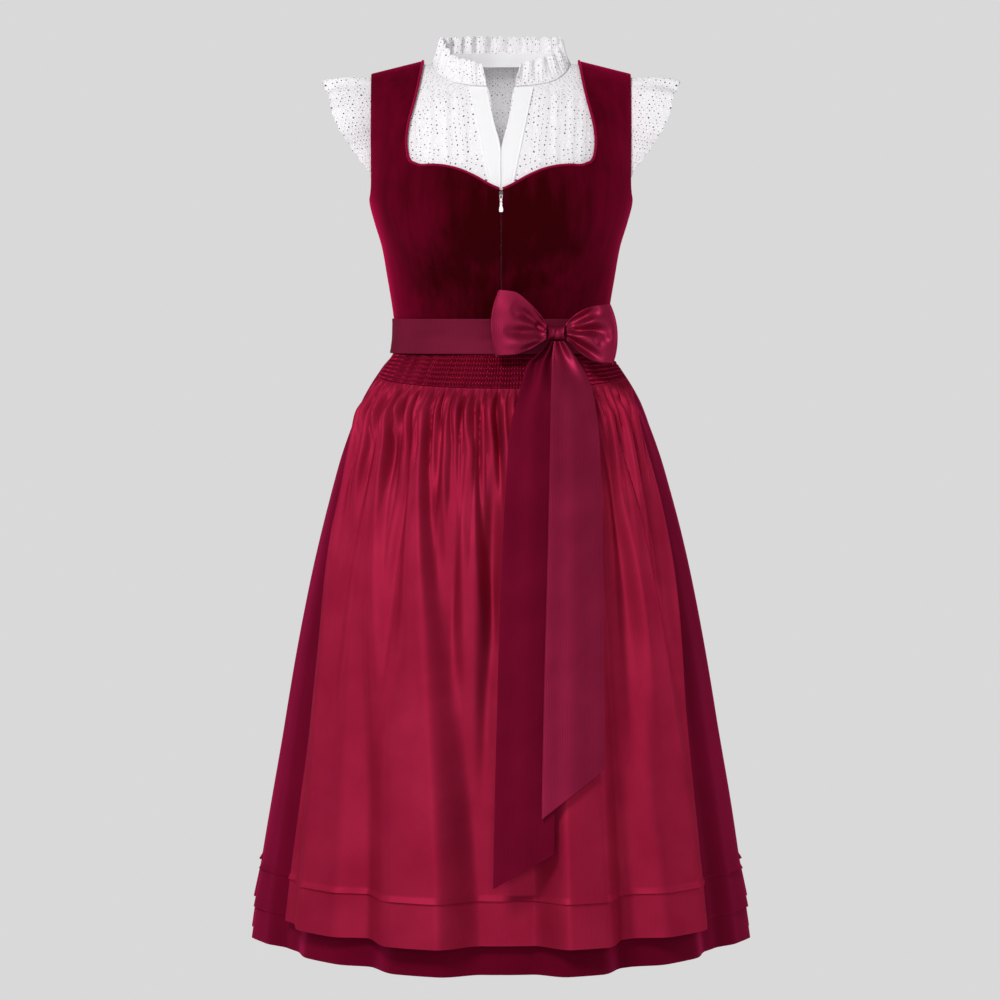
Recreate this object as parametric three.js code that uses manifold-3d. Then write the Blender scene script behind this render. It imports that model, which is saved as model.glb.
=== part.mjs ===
// A dirndl set, filled out as if worn: a white eyelet blouse with a stand collar and flutter sleeves, a
// velvet bodice joined to a gathered skirt, and a satin apron whose tie ribbon ends in a bow.
//
// Millimetres, +Z up, the front faces -Y and the wearer's left is +X. The origin lies between the
// shoulders, where the straps bear on the wearer, so depths down the body are counted from there.
import * as THREE from "three";
import { mergeVertices } from "three/addons/utils/BufferGeometryUtils.js";
import Module from "manifold-3d";

const wasm = await Module();
wasm.setup();

const { clamp, lerp, degToRad, radToDeg } = THREE.MathUtils;

// ---------- cloth and gaps ----------
const VELVET = 1.6;
const SKIRT_COTTON = 1.2;
const SATIN = 1.2;
const RIBBON = 1.1;
const EYELET = 1.0;
const SEAM_HALF_GAP = 0.15;
const SEAM_GAP = 0.3;

// ---------- lengths down the body ----------
const WAIST = 320;
const BELT_TOP = 300;
const BELT_FOOT = 341;
const SMOCKING_FOOT = 381;
const SMOCKING_RISE_AT_SIDES = 11;
const APRON_FOOT = 1006;
const HEM = 1040;
const SLIT_FOOT = 104.5;
const NECKLINE_FOOT = 150.5;
const BLOUSE_FOOT = 215;

// ---------- layers, measured outwards from the bodice's face ----------
const BLOUSE_LAYER = -4.9;
const PLACKET_LAYER = -3.6;
const PLACKET_THICK = 0.9;
const TAPE_LAYER = -2.4;
const PIPING_LAYER = -0.4;
const PIPING_RADIUS = 1.5;
const PIPING_END_ROOT = 0.2;
const PIPING_INSET = 2.15;

// ---------- the filled-out torso: half width, and depth to the front and to the back ----------
const TORSO_ROUNDNESS = 2.35;
const TORSO = [
  { down: 0, half: 163, front: 0, back: 0 },
  { down: 4, half: 163, front: 25, back: 23 },
  { down: 12, half: 163, front: 43, back: 39 },
  { down: 25, half: 163, front: 62, back: 55 },
  { down: 50, half: 163, front: 85, back: 74 },
  { down: 80, half: 163, front: 103, back: 88 },
  { down: 112, half: 162.5, front: 117, back: 96 },
  { down: 150, half: 160.5, front: 126, back: 99 },
  { down: 185, half: 151.5, front: 128, back: 95 },
  { down: 215, half: 142.5, front: 122, back: 89 },
  { down: 250, half: 136.3, front: 107, back: 81 },
  { down: 290, half: 129.8, front: 94, back: 75.5 },
  { down: 320, half: 126.3, front: 88, back: 74 },
].map((row) => ({ ...row, root: Math.sqrt(row.down) }));
const BUST = { rise: 9, across: 70, down: 178, wide: 38, tall: 42 };
const NAPE = { push: 42, lift: 5, half: 91, down: 140 };
const SHOULDER = { neckRise: 8, tipDrop: 8, neckHalf: 91, tipHalf: 155, fade: 110 };
const RIDGE_ROOT = 0.022;
const RIDGE_BAND = 1.5;

// ---------- the skirt: mid-fold half width and depths ----------
const SKIRT = [
  { down: 320, half: 126, front: 86.5, back: 73 },
  { down: 341, half: 129, front: 90, back: 76 },
  { down: 360, half: 141.5, front: 100, back: 90 },
  { down: 380, half: 154.5, front: 112, back: 103 },
  { down: 400, half: 165.5, front: 121, back: 114 },
  { down: 430, half: 178, front: 132, back: 128 },
  { down: 470, half: 192, front: 144, back: 143 },
  { down: 520, half: 205.5, front: 156, back: 157 },
  { down: 600, half: 224, front: 174, back: 177 },
  { down: 700, half: 243, front: 194, back: 198 },
  { down: 820, half: 262.5, front: 215, back: 219 },
  { down: 940, half: 281.5, front: 235, back: 238 },
  { down: 1040, half: 295, front: 248, back: 250 },
];
// Large folds of skirt and apron: angle from centre front where each starts and ends, in degrees.
const FOLDS = [
  { top: -31, foot: -18.5, half: 9.5, rise: 40 },
  { top: 22, foot: 18.5, half: 7.5, rise: 40 },
  { top: -56, foot: -45, half: 9, rise: 22 },
  { top: 43, foot: 45, half: 9, rise: 24 },
  { top: -80, foot: -76, half: 8.5, rise: 20 },
  { top: 78, foot: 76, half: 8.5, rise: 20 },
  { top: -104, foot: -104, half: 9, rise: 24 },
  { top: 104, foot: 105, half: 9, rise: 24 },
  { top: -129, foot: -131, half: 9, rise: 28 },
  { top: 131, foot: 130, half: 9.5, rise: 28 },
  { top: -157, foot: -157, half: 8.5, rise: 30 },
  { top: 155, foot: 156, half: 8.5, rise: 26 },
  { top: 180, foot: 180, half: 8, rise: 26 },
];
const FOLD_GROWTH = [
  { down: 400, share: 0 },
  { down: 520, share: 0.25 },
  { down: 700, share: 0.5 },
  { down: 900, share: 0.8 },
  { down: 1040, share: 1 },
];
const FOLD_MEAN = 11;
// Under the apron the skirt is pressed: how far in it lies, and the shares of its relief that stay.
const PRESSED = { from: 70, to: 84, inwards: 6, folds: 0.65, gathers: 0.25, tucks: 0.5 };
const SKIRT_GATHERS = 40;
const GATHERED_REACH = 480;
const GATHER_RISE = [
  { down: 320, rise: 0.3 },
  { down: 341, rise: 0.6 },
  { down: 356, rise: 2.4 },
  { down: 392, rise: 3 },
  { down: 430, rise: 2.2 },
  { down: 500, rise: 0 },
];
const TUCKS = [
  { top: 950, foot: 957 },
  { top: 958, foot: 1003 },
];
const TUCK_RISE = 2.2;
const TUCK_LIP = 1;

// ---------- the apron ----------
const APRON_EDGE = [
  { down: 341, right: -70, left: 74 },
  { down: 370, right: -69.5, left: 72 },
  { down: 404, right: -67.5, left: 66.5 },
  { down: 455, right: -62.5, left: 64 },
  { down: 537, right: -61, left: 62 },
  { down: 633, right: -61, left: 61 },
  { down: 765, right: -61, left: 59 },
  { down: 850, right: -61.5, left: 58 },
  { down: 1006, right: -62.3, left: 56.5 },
];
const APRON_CLEARANCE = [
  { down: 341, out: 6.9 },
  { down: 380, out: 7 },
  { down: 430, out: 9 },
  { down: 1006, out: 9 },
];
// Soft folds that leave the smocking: where each starts and ends, and how far down it reaches.
const APRON_FOLDS = [
  { top: -65, foot: -62, half: 3.2, rise: 7, reach: 700 },
  { top: -57, foot: -54, half: 2.2, rise: 5, reach: 560 },
  { top: -46, foot: -38, half: 3.6, rise: 10, reach: 860 },
  { top: -37, foot: -31, half: 2, rise: 4, reach: 520 },
  { top: -29.8, foot: -21, half: 2.6, rise: 8, reach: 760 },
  { top: -24.2, foot: -15, half: 2, rise: 5, reach: 600 },
  { top: -18.3, foot: -12, half: 2.4, rise: 7, reach: 660 },
  { top: -11.5, foot: -6, half: 2.6, rise: 8, reach: 820 },
  { top: -4.9, foot: -2, half: 2.2, rise: 6, reach: 590 },
  { top: 3, foot: 5, half: 2.4, rise: 5, reach: 640 },
  { top: 12, foot: 12, half: 2.6, rise: 5, reach: 700 },
  { top: 22, foot: 20, half: 2.6, rise: 5, reach: 620 },
  { top: 31, foot: 28, half: 2.4, rise: 5, reach: 560 },
  { top: 42.8, foot: 46, half: 2.8, rise: 9, reach: 880 },
  { top: 50.4, foot: 51, half: 2.2, rise: 6, reach: 640 },
  { top: 60, foot: 56, half: 3, rise: 8, reach: 780 },
];
const APRON_GATHERS = 21;
const APRON_GATHERED_REACH = 110;
const APRON_GATHER_RISE = [
  { down: 381, rise: 2.6 },
  { down: 400, rise: 3.4 },
  { down: 440, rise: 1.8 },
  { down: 500, rise: 0 },
];
const SMOCKING_STITCH_ROWS = 6;
const SMOCKING_PUFF = 1.8;
const SMOCKING_RIBS = 44;
const SMOCKING_FACE = -0.4;
const SMOCKING_BACK = -1.6;

// ---------- the bodice's panel lines ----------
const SWEETHEART = [
  { x: 0, down: NECKLINE_FOOT },
  { x: 12.5, down: 145 },
  { x: 36, down: 132 },
  { x: 60, down: 123.5 },
  { x: 78, down: 121.2 },
  { x: 96, down: 121 },
];
const FRONT_SIDE = [
  { inX: 68, inDown: 320, outDown: 320 },
  { inX: 70.5, inDown: 285, outDown: 285 },
  { inX: 76, inDown: 245, outDown: 250 },
  { inX: 83, inDown: 208, outDown: 215 },
  { inX: 90, inDown: 166, outDown: 180 },
  { inX: 96, inDown: 121, outDown: 161 },
  { inX: 105, inDown: 117.5, outDown: 152 },
  { inX: 111, inDown: 106, outDown: 140 },
  { inX: 112.3, inDown: 90, outDown: 124 },
  { inX: 109.3, inDown: 68, outDown: 98 },
  { inX: 102.3, inDown: 42, outDown: 66 },
  { inX: 97.8, inDown: 22, outDown: 38 },
  { inX: 95.3, inDown: 8, outDown: 16 },
  { inX: 94.3, inDown: 0, outDown: 0 },
];
const BACK_NECKLINE = [
  { x: 0, down: 85.3 },
  { x: 30, down: 84.3 },
  { x: 60, down: 81.5 },
];
const BACK_SIDE = [
  { inX: 40, inDown: 320, outDown: 320 },
  { inX: 42, inDown: 285, outDown: 285 },
  { inX: 45, inDown: 245, outDown: 250 },
  { inX: 49, inDown: 208, outDown: 215 },
  { inX: 53.5, inDown: 165, outDown: 180 },
  { inX: 57.5, inDown: 115, outDown: 161 },
  { inX: 60, inDown: 81.5, outDown: 152 },
  { inX: 69, inDown: 80.3, outDown: 146 },
  { inX: 77, inDown: 77, outDown: 140 },
  { inX: 85.5, inDown: 70.5, outDown: 133 },
  { inX: 91, inDown: 61, outDown: 122 },
  { inX: 95, inDown: 46, outDown: 98 },
  { inX: 96.3, inDown: 30, outDown: 66 },
  { inX: 96.2, inDown: 17, outDown: 38 },
  { inX: 95.5, inDown: 8, outDown: 16 },
  { inX: 94.3, inDown: 0, outDown: 0 },
];
const PRINCESS_ROWS = 6;
const BACK_PRINCESS_ROWS = 7;
// The armhole, as the angle from centre front at each depth; it meets the side seam at 90 degrees.
const ARMHOLE = [
  { down: 0, angle: 70.5 },
  { down: 98, angle: 70.5 },
  { down: 124, angle: 71 },
  { down: 140, angle: 72.2 },
  { down: 152, angle: 75 },
  { down: 161, angle: 81 },
  { down: 180, angle: 90 },
];
const SIDE_SEAM_TOP = 175;
const BLOUSE_ARMHOLE_PAST = 0.3;
const SLEEVE_PAST = 0.8;

// ---------- the blouse's lines ----------
const BLOUSE_FRONT = [
  { inX: 0.15, inDown: 215, outDown: 215 },
  { inX: 0.15, inDown: 165, outDown: 180 },
  { inX: 0.15, inDown: 125, outDown: 161 },
  { inX: 0.15, inDown: SLIT_FOOT, outDown: 152 },
  { inX: 8.5, inDown: 67, outDown: 124 },
  { inX: 17, inDown: 27.5, outDown: 92 },
  { inX: 39, inDown: 26, outDown: 60 },
  { inX: 60, inDown: 22, outDown: 36 },
  { inX: 72, inDown: 15.5, outDown: 20 },
  { inX: 79, inDown: 8, outDown: 9 },
  { inX: 82, inDown: 0, outDown: 0 },
];
const SHOULDER_REACH = 154;
const BLOUSE_BACK_SIDE = [
  { v: 0, down: BLOUSE_FOOT },
  { v: 0.25, down: 165 },
  { v: 0.6, down: 75 },
  { v: 1, down: RIDGE_ROOT ** 2 },
];
const NECK_SEAM_FRONT = [
  { x: 17, down: 27.5 },
  { x: 28, down: 27 },
  { x: 39, down: 26 },
  { x: 60, down: 22 },
  { x: 72, down: 15.5 },
  { x: 79, down: 8 },
  { x: 82, down: 0.02 },
];
const NECK_SEAM_BACK = [
  { x: 75, down: 1.5 },
  { x: 50, down: 3 },
  { x: 25, down: 3.5 },
  { x: 0, down: 3.5 },
];
const COLLAR_TOP = [
  { x: 22, y: -60, z: 0 },
  { x: 39, y: -52, z: 5.3 },
  { x: 53.6, y: -38, z: 10.3 },
  { x: 62.5, y: -18, z: 24 },
  { x: 67, y: 5, z: 33 },
  { x: 60, y: 35, z: 38 },
  { x: 40, y: 52, z: 41 },
  { x: 0, y: 62, z: 41.8 },
];
const COLLAR_LIFT = 0.02;
const STAND_SHARE = 0.42;
const FRILL_START = 0.465;
const FRILL_OUT = 0.3;
const FRILL_WAVES = 23;
const FRILL_RISE = 2.6;
const PLACKET = [
  { down: 29, inX: 17, outX: 38.5 },
  { down: 67, inX: 8.7, outX: 30 },
  { down: SLIT_FOOT, inX: 0.2, outX: 22 },
  { down: 150, inX: 0.2, outX: 13 },
];
const SLEEVE_REACH = [
  { down: 0, wide: 59 },
  { down: 38, wide: 50 },
  { down: 67, wide: 42 },
  { down: 86, wide: 30 },
  { down: 106, wide: 18 },
  { down: 125, wide: 7 },
  { down: 135, wide: 3.5 },
];
const SLEEVE_FOOT = 135;
const SLEEVE_WAVES = 7;
// The waves and the hollow swell of a sleeve, and the width at which each is full.
const SLEEVE_WAVE = { rise: 3.4, fullWidth: 26 };
const SLEEVE_BELLY = { rise: 4, fullWidth: 40 };
const SLEEVE_CREST = 0.04;

// ---------- the belt and the bow ----------
const BELT = [
  { down: BELT_TOP, half: 130.2, front: 94, back: 77.8 },
  { down: WAIST, half: 130.6, front: 94.4, back: 78.8 },
  { down: BELT_FOOT, half: 133, front: 97.2, back: 81.6 },
];
const BELT_SEAM_ANGLE = 0.02;
const KNOT = { x: 65, down: 317, wide: 22, tall: 22, wall: 2, swell: 11, ahead: 12.4 };
const KNOT_SOFTNESS = { pinch: 0.16, crease: 0.7 };
// Each loop's outline from the knot outwards: height above and below the knot's middle.
const RIGHT_LOOP = [
  { out: 9, above: 5, below: 4.5 },
  { out: 17, above: 18, below: 10 },
  { out: 33, above: 37, below: 19 },
  { out: 50, above: 49, below: 24 },
  { out: 77, above: 52, below: 25.5 },
];
const LEFT_LOOP = [
  { out: 9, above: 5, below: 4.5 },
  { out: 16, above: 16, below: 11 },
  { out: 28, above: 25, below: 23 },
  { out: 44, above: 32, below: 31.5 },
  { out: 72, above: 35.5, below: 35.5 },
];
const LOOP_DEPTH = 11;
const LOOP_BACK = { knot: -91, right: -106, left: -84 };
// How far round its turn a loop's wall starts, how much its end rounds, and its pinched-in pleats.
const LOOP_TURN = { start: 0.07, round: 0.1, droop: 2.5 };
const LOOP_CRIMP = { depth: 1.1, halves: 5.5, fade: 6 };
const BACK_TAIL = [
  { down: 338, right: 47, left: 60 },
  { down: 352, right: 31, left: 58 },
  { down: 385, right: 21, left: 62 },
  { down: 430, right: 10, left: 66 },
  { down: 510, right: 4.5, left: 68 },
  { down: 640, right: -1.5, left: 66 },
  { down: 800, right: -6, left: 63 },
  { down: 937, right: -9, left: 59.5 },
];
const BACK_TAIL_POINT = { right: 985, left: 943 };
const FRONT_TAIL = [
  { down: 337, right: 61, left: 80 },
  { down: 352, right: 59.5, left: 92 },
  { down: 374, right: 58.5, left: 104 },
  { down: 400, right: 57.5, left: 110 },
  { down: 450, right: 56.5, left: 115 },
  { down: 560, right: 54, left: 118 },
  { down: 700, right: 50, left: 119 },
  { down: 845, right: 46.5, left: 119.5 },
];
const FRONT_TAIL_POINT = { right: 900, left: 846 };
const TAIL_GAP = { back: 3, front: 8 };
const TAIL_PLEAT = 1.6;
const TAIL_ANGLES = { from: -4, to: 42 };

// ---------- the zip ----------
const TAPE_HALF = 9;
const TAPE_THICK = 0.8;
const SLIDER = { down: 156, half: 3, tall: 9.5, thick: 2.6, gap: 0.35, cut: 1.2, taper: 0.9 };
const ARCH = { half: 0.6, bar: 0.9, inner: 2.1, outer: 3, room: 0.85, cut: 0.6, root: 0.4 };
const PULL = { half: 2.5, long: 20, thick: 1, neck: 1.9, neckFoot: 4.6, waist: 1.1, bowl: 0.2 };
const PULL_HOLE = { half: 0.95, top: 0.5, foot: 4 };

// ---------- reading tables, and steps along them ----------
const steps = (count) => Array.from({ length: count + 1 }, (_, i) => i / count);
const ease = (t) => clamp(t, 0, 1) ** 2 * (3 - 2 * clamp(t, 0, 1));
const rise = (at, from, to) => ease((at - from) / (to - from));

// A smooth curve through two columns of a table, which never swings past its rows.
function smooth(table, from, to) {
  const xs = table.map((row) => row[from]);
  const ys = table.map((row) => row[to]);
  const slopes = xs.slice(1).map((x, i) => (ys[i + 1] - ys[i]) / (x - xs[i]));
  const tangents = xs.map((_, i) => {
    const before = slopes[Math.max(i - 1, 0)];
    const after = slopes[Math.min(i, slopes.length - 1)];
    return before * after <= 0 ? 0 : (2 * before * after) / (before + after);
  });
  const up = xs.at(-1) > xs[0];
  return (at) => {
    const inside = clamp(at, Math.min(xs[0], xs.at(-1)), Math.max(xs[0], xs.at(-1)));
    let i = 0;
    while (i < xs.length - 2 && (up ? inside > xs[i + 1] : inside < xs[i + 1])) i += 1;
    const span = xs[i + 1] - xs[i];
    const t = (inside - xs[i]) / span;
    const turn = t * t * (3 - 2 * t);
    const bend = span * t * (1 - t);
    return lerp(ys[i], ys[i + 1], turn) + bend * ((1 - t) * tangents[i] - t * tangents[i + 1]);
  };
}

// The same, with the table's rows spread evenly from 0 to 1.
function smoothRows(table, column) {
  const rows = table.map((row, i) => ({ at: i / (table.length - 1), value: row[column] }));
  return smooth(rows, "at", "value");
}

// ---------- walls ----------
// Joins two lines of points, each with its places along a shared measure, by a strip of triangles.
function stitch(faces, a, b, flip = false) {
  const sense = Math.sign(a.at.at(-1) - a.at[0]);
  const next = (line, k) => (k < line.ids.length - 1 ? sense * (line.at[k] + line.at[k + 1]) : Infinity);
  let i = 0;
  let j = 0;
  while (i < a.ids.length - 1 || j < b.ids.length - 1) {
    const nextA = next(a, i);
    const nextB = next(b, j);
    const corner = nextA <= nextB ? [a.ids[i], a.ids[i + 1], b.ids[j]] : [a.ids[i], b.ids[j + 1], b.ids[j]];
    faces.push(...(flip ? corner.reverse() : corner));
    if (nextA <= nextB) i += 1;
    else j += 1;
  }
}

// A closed wall of cloth: a grid of points on its face, a second grid behind it, and the four cut edges.
// rows are places up the piece; columns are places across it, the same for all rows or a function of the row.
function wall({ rows, columns, face, behind, backRows = rows, backColumns = columns }) {
  const position = [];
  const faces = [];
  const place = (p) => position.push(p.x, p.y, p.z) / 3 - 1;
  const grid = (vs, us, point) =>
    vs.map((v) => {
      const at = typeof us === "function" ? us(v) : us;
      return { at, ids: at.map((u) => place(point(u, v))) };
    });
  const edge = (lines, vs, pick) => ({ at: vs, ids: lines.map((line) => line.ids.at(pick)) });
  const front = grid(rows, columns, face);
  const back = grid(backRows, backColumns, behind);
  front.slice(1).forEach((line, i) => stitch(faces, front[i], line));
  back.slice(1).forEach((line, i) => stitch(faces, back[i], line, true));
  stitch(faces, back[0], front[0]);
  stitch(faces, front.at(-1), back.at(-1));
  stitch(faces, edge(front, rows, 0), edge(back, backRows, 0));
  stitch(faces, edge(back, backRows, -1), edge(front, rows, -1));
  return faceOutwards(position, faces);
}

// Builds the geometry, turned round where its faces enclose a negative volume.
function faceOutwards(position, faces) {
  let volume = 0;
  const corner = (i) => new THREE.Vector3().fromArray(position, 3 * i);
  for (let i = 0; i < faces.length; i += 3) {
    const [a, b, c] = [corner(faces[i]), corner(faces[i + 1]), corner(faces[i + 2])];
    volume += a.dot(b.cross(c));
  }
  const geometry = new THREE.BufferGeometry();
  geometry.setAttribute("position", new THREE.Float32BufferAttribute(position, 3));
  geometry.setIndex(volume < 0 ? [...faces].reverse() : faces);
  return geometry;
}

// The same piece on the wearer's other side.
function mirrored(geometry) {
  const position = Array.from(geometry.attributes.position.array, (value, i) => (i % 3 ? value : -value));
  return faceOutwards(position, Array.from(geometry.index.array));
}

// ---------- the torso's surface ----------
const torsoHalf = smooth(TORSO, "root", "half");
const torsoFront = smooth(TORSO, "root", "front");
const torsoBack = smooth(TORSO, "root", "back");
const armhole = smooth(ARMHOLE, "down", "angle");
const bell = (x, wide) => Math.exp(-0.5 * (x / wide) ** 2);
const rounded = (value) => Math.sign(value) * Math.abs(value) ** (2 / TORSO_ROUNDNESS);

// A place on the torso is an angle from centre front and the square root of the depth down the body,
// which spreads places evenly over the shoulders.
function torsoBase(angle, root) {
  const down = root * root;
  const backwards = Math.abs(angle) > 90;
  const x = torsoHalf(root) * rounded(Math.sin(degToRad(angle)));
  const depth = backwards ? torsoBack(root) : torsoFront(root);
  let y = depth * -rounded(Math.cos(degToRad(angle)));
  const bust = BUST.rise * bell(down - BUST.down, BUST.tall);
  if (!backwards) y -= bust * (bell(x - BUST.across, BUST.wide) + bell(x + BUST.across, BUST.wide));
  const inNape = Math.max(0, 1 - (x / NAPE.half) ** 2);
  if (backwards) y += NAPE.push * inNape ** 2 * Math.max(0, 1 - down / NAPE.down) ** 2;
  const along = clamp((Math.abs(x) - SHOULDER.neckHalf) / (SHOULDER.tipHalf - SHOULDER.neckHalf), 0, 1);
  let lift = lerp(SHOULDER.neckRise, -SHOULDER.tipDrop, along);
  if (backwards) lift += NAPE.lift * inNape;
  return new THREE.Vector3(x, y, lift * Math.max(0, 1 - down / SHOULDER.fade) ** 2 - down);
}

function torsoFacing(angle, root) {
  const turn = 1;
  const fall = 0.1;
  const r = clamp(root, 0.35, Math.sqrt(WAIST) - fall);
  const side = Math.sign(angle) || 1;
  const around = Math.abs(angle);
  const flat = around < 90 ? Math.min(around, 90 - turn) : Math.max(around, 90 + turn);
  const across = torsoBase(side * flat + turn, r).sub(torsoBase(side * flat - turn, r));
  const downwards = torsoBase(side * flat, r + fall).sub(torsoBase(side * flat, r - fall));
  const facing = downwards.cross(across).normalize();
  return facing.setY(facing.y * clamp(root / RIDGE_BAND, 0, 1)).normalize();
}

const onTorso = (place, out = 0) =>
  torsoBase(place.angle, place.root).addScaledVector(torsoFacing(place.angle, place.root), out);

// An angle past the centre back, brought back between -180 and 180.
const unturned = (angle) => (angle > 180 ? angle - 360 : angle);

// The angle at which the torso's surface is x from the middle.
function angleAt(x, root, backwards = false) {
  const sine = Math.min(1, Math.abs(x) / torsoHalf(root)) ** (TORSO_ROUNDNESS / 2);
  const angle = radToDeg(Math.asin(sine));
  return Math.sign(x || 1) * (backwards ? 180 - angle : angle);
}

// The angle just short of the side seam, where the surface is half a seam gap from it.
function besideSeam(root, backwards) {
  const depth = (backwards ? torsoBack : torsoFront)(root);
  const angle = radToDeg(Math.acos((SEAM_HALF_GAP / depth) ** (TORSO_ROUNDNESS / 2)));
  return backwards ? 180 - angle : angle;
}

const placeAt = (x, down, backwards) => {
  const root = Math.sqrt(down);
  return { angle: angleAt(x, root, backwards), root };
};
const between = (a, b, t) => ({ angle: lerp(a.angle, b.angle, t), root: lerp(a.root, b.root, t) });

// A panel that runs between an inner and an outer line, row by row.
function torsoPanel({ rows, columns, inner, outer, layer, thick }) {
  const spot = (u, v) => between(inner(v), outer(v), u);
  return wall({
    rows,
    columns,
    face: (u, v) => onTorso(spot(u, v), layer),
    behind: (u, v) => onTorso(spot(u, v), layer - thick),
  });
}

// ---------- the skirt's surface ----------
const skirtHalf = smooth(SKIRT, "down", "half");
const skirtFront = smooth(SKIRT, "down", "front");
const skirtBack = smooth(SKIRT, "down", "back");
const foldGrowth = smooth(FOLD_GROWTH, "down", "share");
const gatherRise = smooth(GATHER_RISE, "down", "rise");
const turnBetween = (a, b) => Math.abs(((a - b + 540) % 360) - 180);
const ridge = (angle, centre, half) => ease(1.5 - turnBetween(angle, centre) / half);

function largeFolds(angle, down) {
  const share = foldGrowth(down);
  const lean = rise(down, 400, HEM);
  const height = (fold) => fold.rise * ridge(angle, lerp(fold.top, fold.foot, lean), fold.half);
  return share * (FOLDS.reduce((sum, fold) => sum + height(fold), 0) - FOLD_MEAN);
}

function skirtPoint(angle, down, out) {
  const turn = degToRad(angle);
  const half = skirtHalf(down);
  const depth = (Math.abs(angle) > 90 ? skirtBack : skirtFront)(down);
  const flat = new THREE.Vector3(Math.sin(turn) / half, -Math.cos(turn) / depth, 0).normalize();
  return new THREE.Vector3(half * Math.sin(turn), -depth * Math.cos(turn), -down).addScaledVector(flat, out);
}

function skirtFacing(angle, down) {
  const turn = degToRad(angle);
  const depth = (Math.abs(angle) > 90 ? skirtBack : skirtFront)(down);
  const flare = (skirtHalf(down + 4) - skirtHalf(down - 4)) / 8;
  const flat = new THREE.Vector3(Math.sin(turn) / skirtHalf(down), -Math.cos(turn) / depth, 0).normalize();
  return flat.setZ(flare).normalize();
}

// How far a tuck's folded edge stands out at a depth.
function tuckRise(down, tucks) {
  const tuck = tucks.find((one) => down > one.top && down <= one.foot + 0.01);
  return tuck ? TUCK_RISE * ((down - tuck.top) / (tuck.foot - tuck.top)) : 0;
}

// Under the apron the skirt is pressed flatter and lies further in.
function skirtOut(angle, down) {
  const pressed = 1 - rise(Math.abs(angle), PRESSED.from, PRESSED.to);
  const kept = (share) => lerp(1, share, pressed);
  const wave = 0.5 + 0.5 * Math.cos(degToRad(angle * SKIRT_GATHERS));
  const inwards = PRESSED.inwards * pressed * rise(down, 400, 520);
  const folds = largeFolds(angle, down) * kept(PRESSED.folds) - inwards;
  const gathers = gatherRise(down) * wave * kept(PRESSED.gathers);
  return folds + gathers + tuckRise(down, TUCKS) * kept(PRESSED.tucks);
}

// ---------- the apron's surface, a little outside the skirt's ----------
const apronRight = smooth(APRON_EDGE, "down", "right");
const apronLeft = smooth(APRON_EDGE, "down", "left");
const apronClearance = smooth(APRON_CLEARANCE, "down", "out");
const apronGatherRise = smooth(APRON_GATHER_RISE, "down", "rise");
const apronAngle = (u, down) => lerp(apronRight(down), apronLeft(down), u);
const smockingFoot = (u) => SMOCKING_FOOT - SMOCKING_RISE_AT_SIDES * (2 * u - 1) ** 2;

function apronOut(u, down) {
  const angle = apronAngle(u, down);
  const fold = ({ top, foot, half, rise: height, reach }) => {
    const lean = rise(down, 381, reach);
    const fade = rise(down, SMOCKING_FOOT, 410) * (1 - rise(down, lerp(420, reach, 0.4), reach));
    return height * fade * ridge(angle, lerp(top, foot, lean), half * lerp(1, 1.8, lean));
  };
  const folds = APRON_FOLDS.reduce((most, one) => Math.max(most, fold(one)), 0);
  const wave = 0.5 + 0.5 * Math.cos(2 * Math.PI * APRON_GATHERS * u);
  const gathers = apronGatherRise(down) * wave;
  return largeFolds(angle, down) + apronClearance(down) + folds + gathers;
}

// ---------- pieces ----------
const group = new THREE.Group();
const material = (color, roughness, metalness = 0) =>
  new THREE.MeshStandardMaterial({ color, roughness, metalness });
const finishes = {
  velvet: material("#5d0618", 0.85),
  piping: material("#8a0f34", 0.7),
  skirtCotton: material("#700a25", 0.8),
  apronSatin: material("#a02346", 0.4),
  ribbon: material("#7d2042", 0.45),
  eyelet: material("#eeebf0", 0.9),
  plainCotton: material("#f4f3f6", 0.85),
  zipTape: material("#3a0810", 0.8),
  zipMetal: material("#b08a80", 0.3, 1),
};

function add(name, geometry, finish) {
  const mesh = new THREE.Mesh(geometry, finishes[finish]);
  mesh.name = name;
  group.add(mesh);
}

function addPair(name, geometry, finish) {
  add(`${name}_left`, geometry, finish);
  add(`${name}_right`, mirrored(geometry), finish);
}

// Bodice, front: a centre panel between the zip and the princess seam, and a side panel whose upper part
// is the strap.
const princess = smooth(FRONT_SIDE.slice(0, PRINCESS_ROWS).reverse(), "inDown", "inX");
const sweetheart = smooth(SWEETHEART, "x", "down");
function bodiceFront() {
  const seamTop = SWEETHEART.at(-1).x;
  const centre = (u, v) => {
    const down = lerp(WAIST, sweetheart(u * seamTop), v);
    const x = lerp(SEAM_HALF_GAP, princess(down) - SEAM_HALF_GAP, u);
    return placeAt(x, down);
  };
  addPair(
    "bodice_front_centre",
    wall({
      rows: steps(7),
      columns: steps(6),
      face: (u, v) => onTorso(centre(u, v)),
      behind: (u, v) => onTorso(centre(u, v), -VELVET),
    }),
    "velvet",
  );
  addPair("bodice_front_side", sidePanel(FRONT_SIDE, PRINCESS_ROWS, false), "velvet");
}

function sidePanel(table, seamRows, backwards) {
  const inX = smoothRows(table, "inX");
  const inDown = smoothRows(table, "inDown");
  const outDown = smoothRows(table, "outDown");
  const lastSeamRow = (seamRows - 1) / (table.length - 1);
  const inner = (v) => {
    const gap = v <= lastSeamRow ? 2 * SEAM_HALF_GAP : 0;
    const down = Math.max(inDown(v), RIDGE_ROOT ** 2);
    return placeAt(inX(v) + gap, down, backwards);
  };
  const outer = (v) => {
    const root = Math.max(Math.sqrt(outDown(v)), RIDGE_ROOT);
    const angle = armhole(outDown(v));
    const front = Math.min(angle, besideSeam(root, false));
    return { angle: backwards ? Math.max(180 - angle, besideSeam(root, true)) : front, root };
  };
  const rows = steps(table.length - 1);
  return torsoPanel({ rows, columns: steps(5), inner, outer, layer: 0, thick: VELVET });
}

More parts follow.
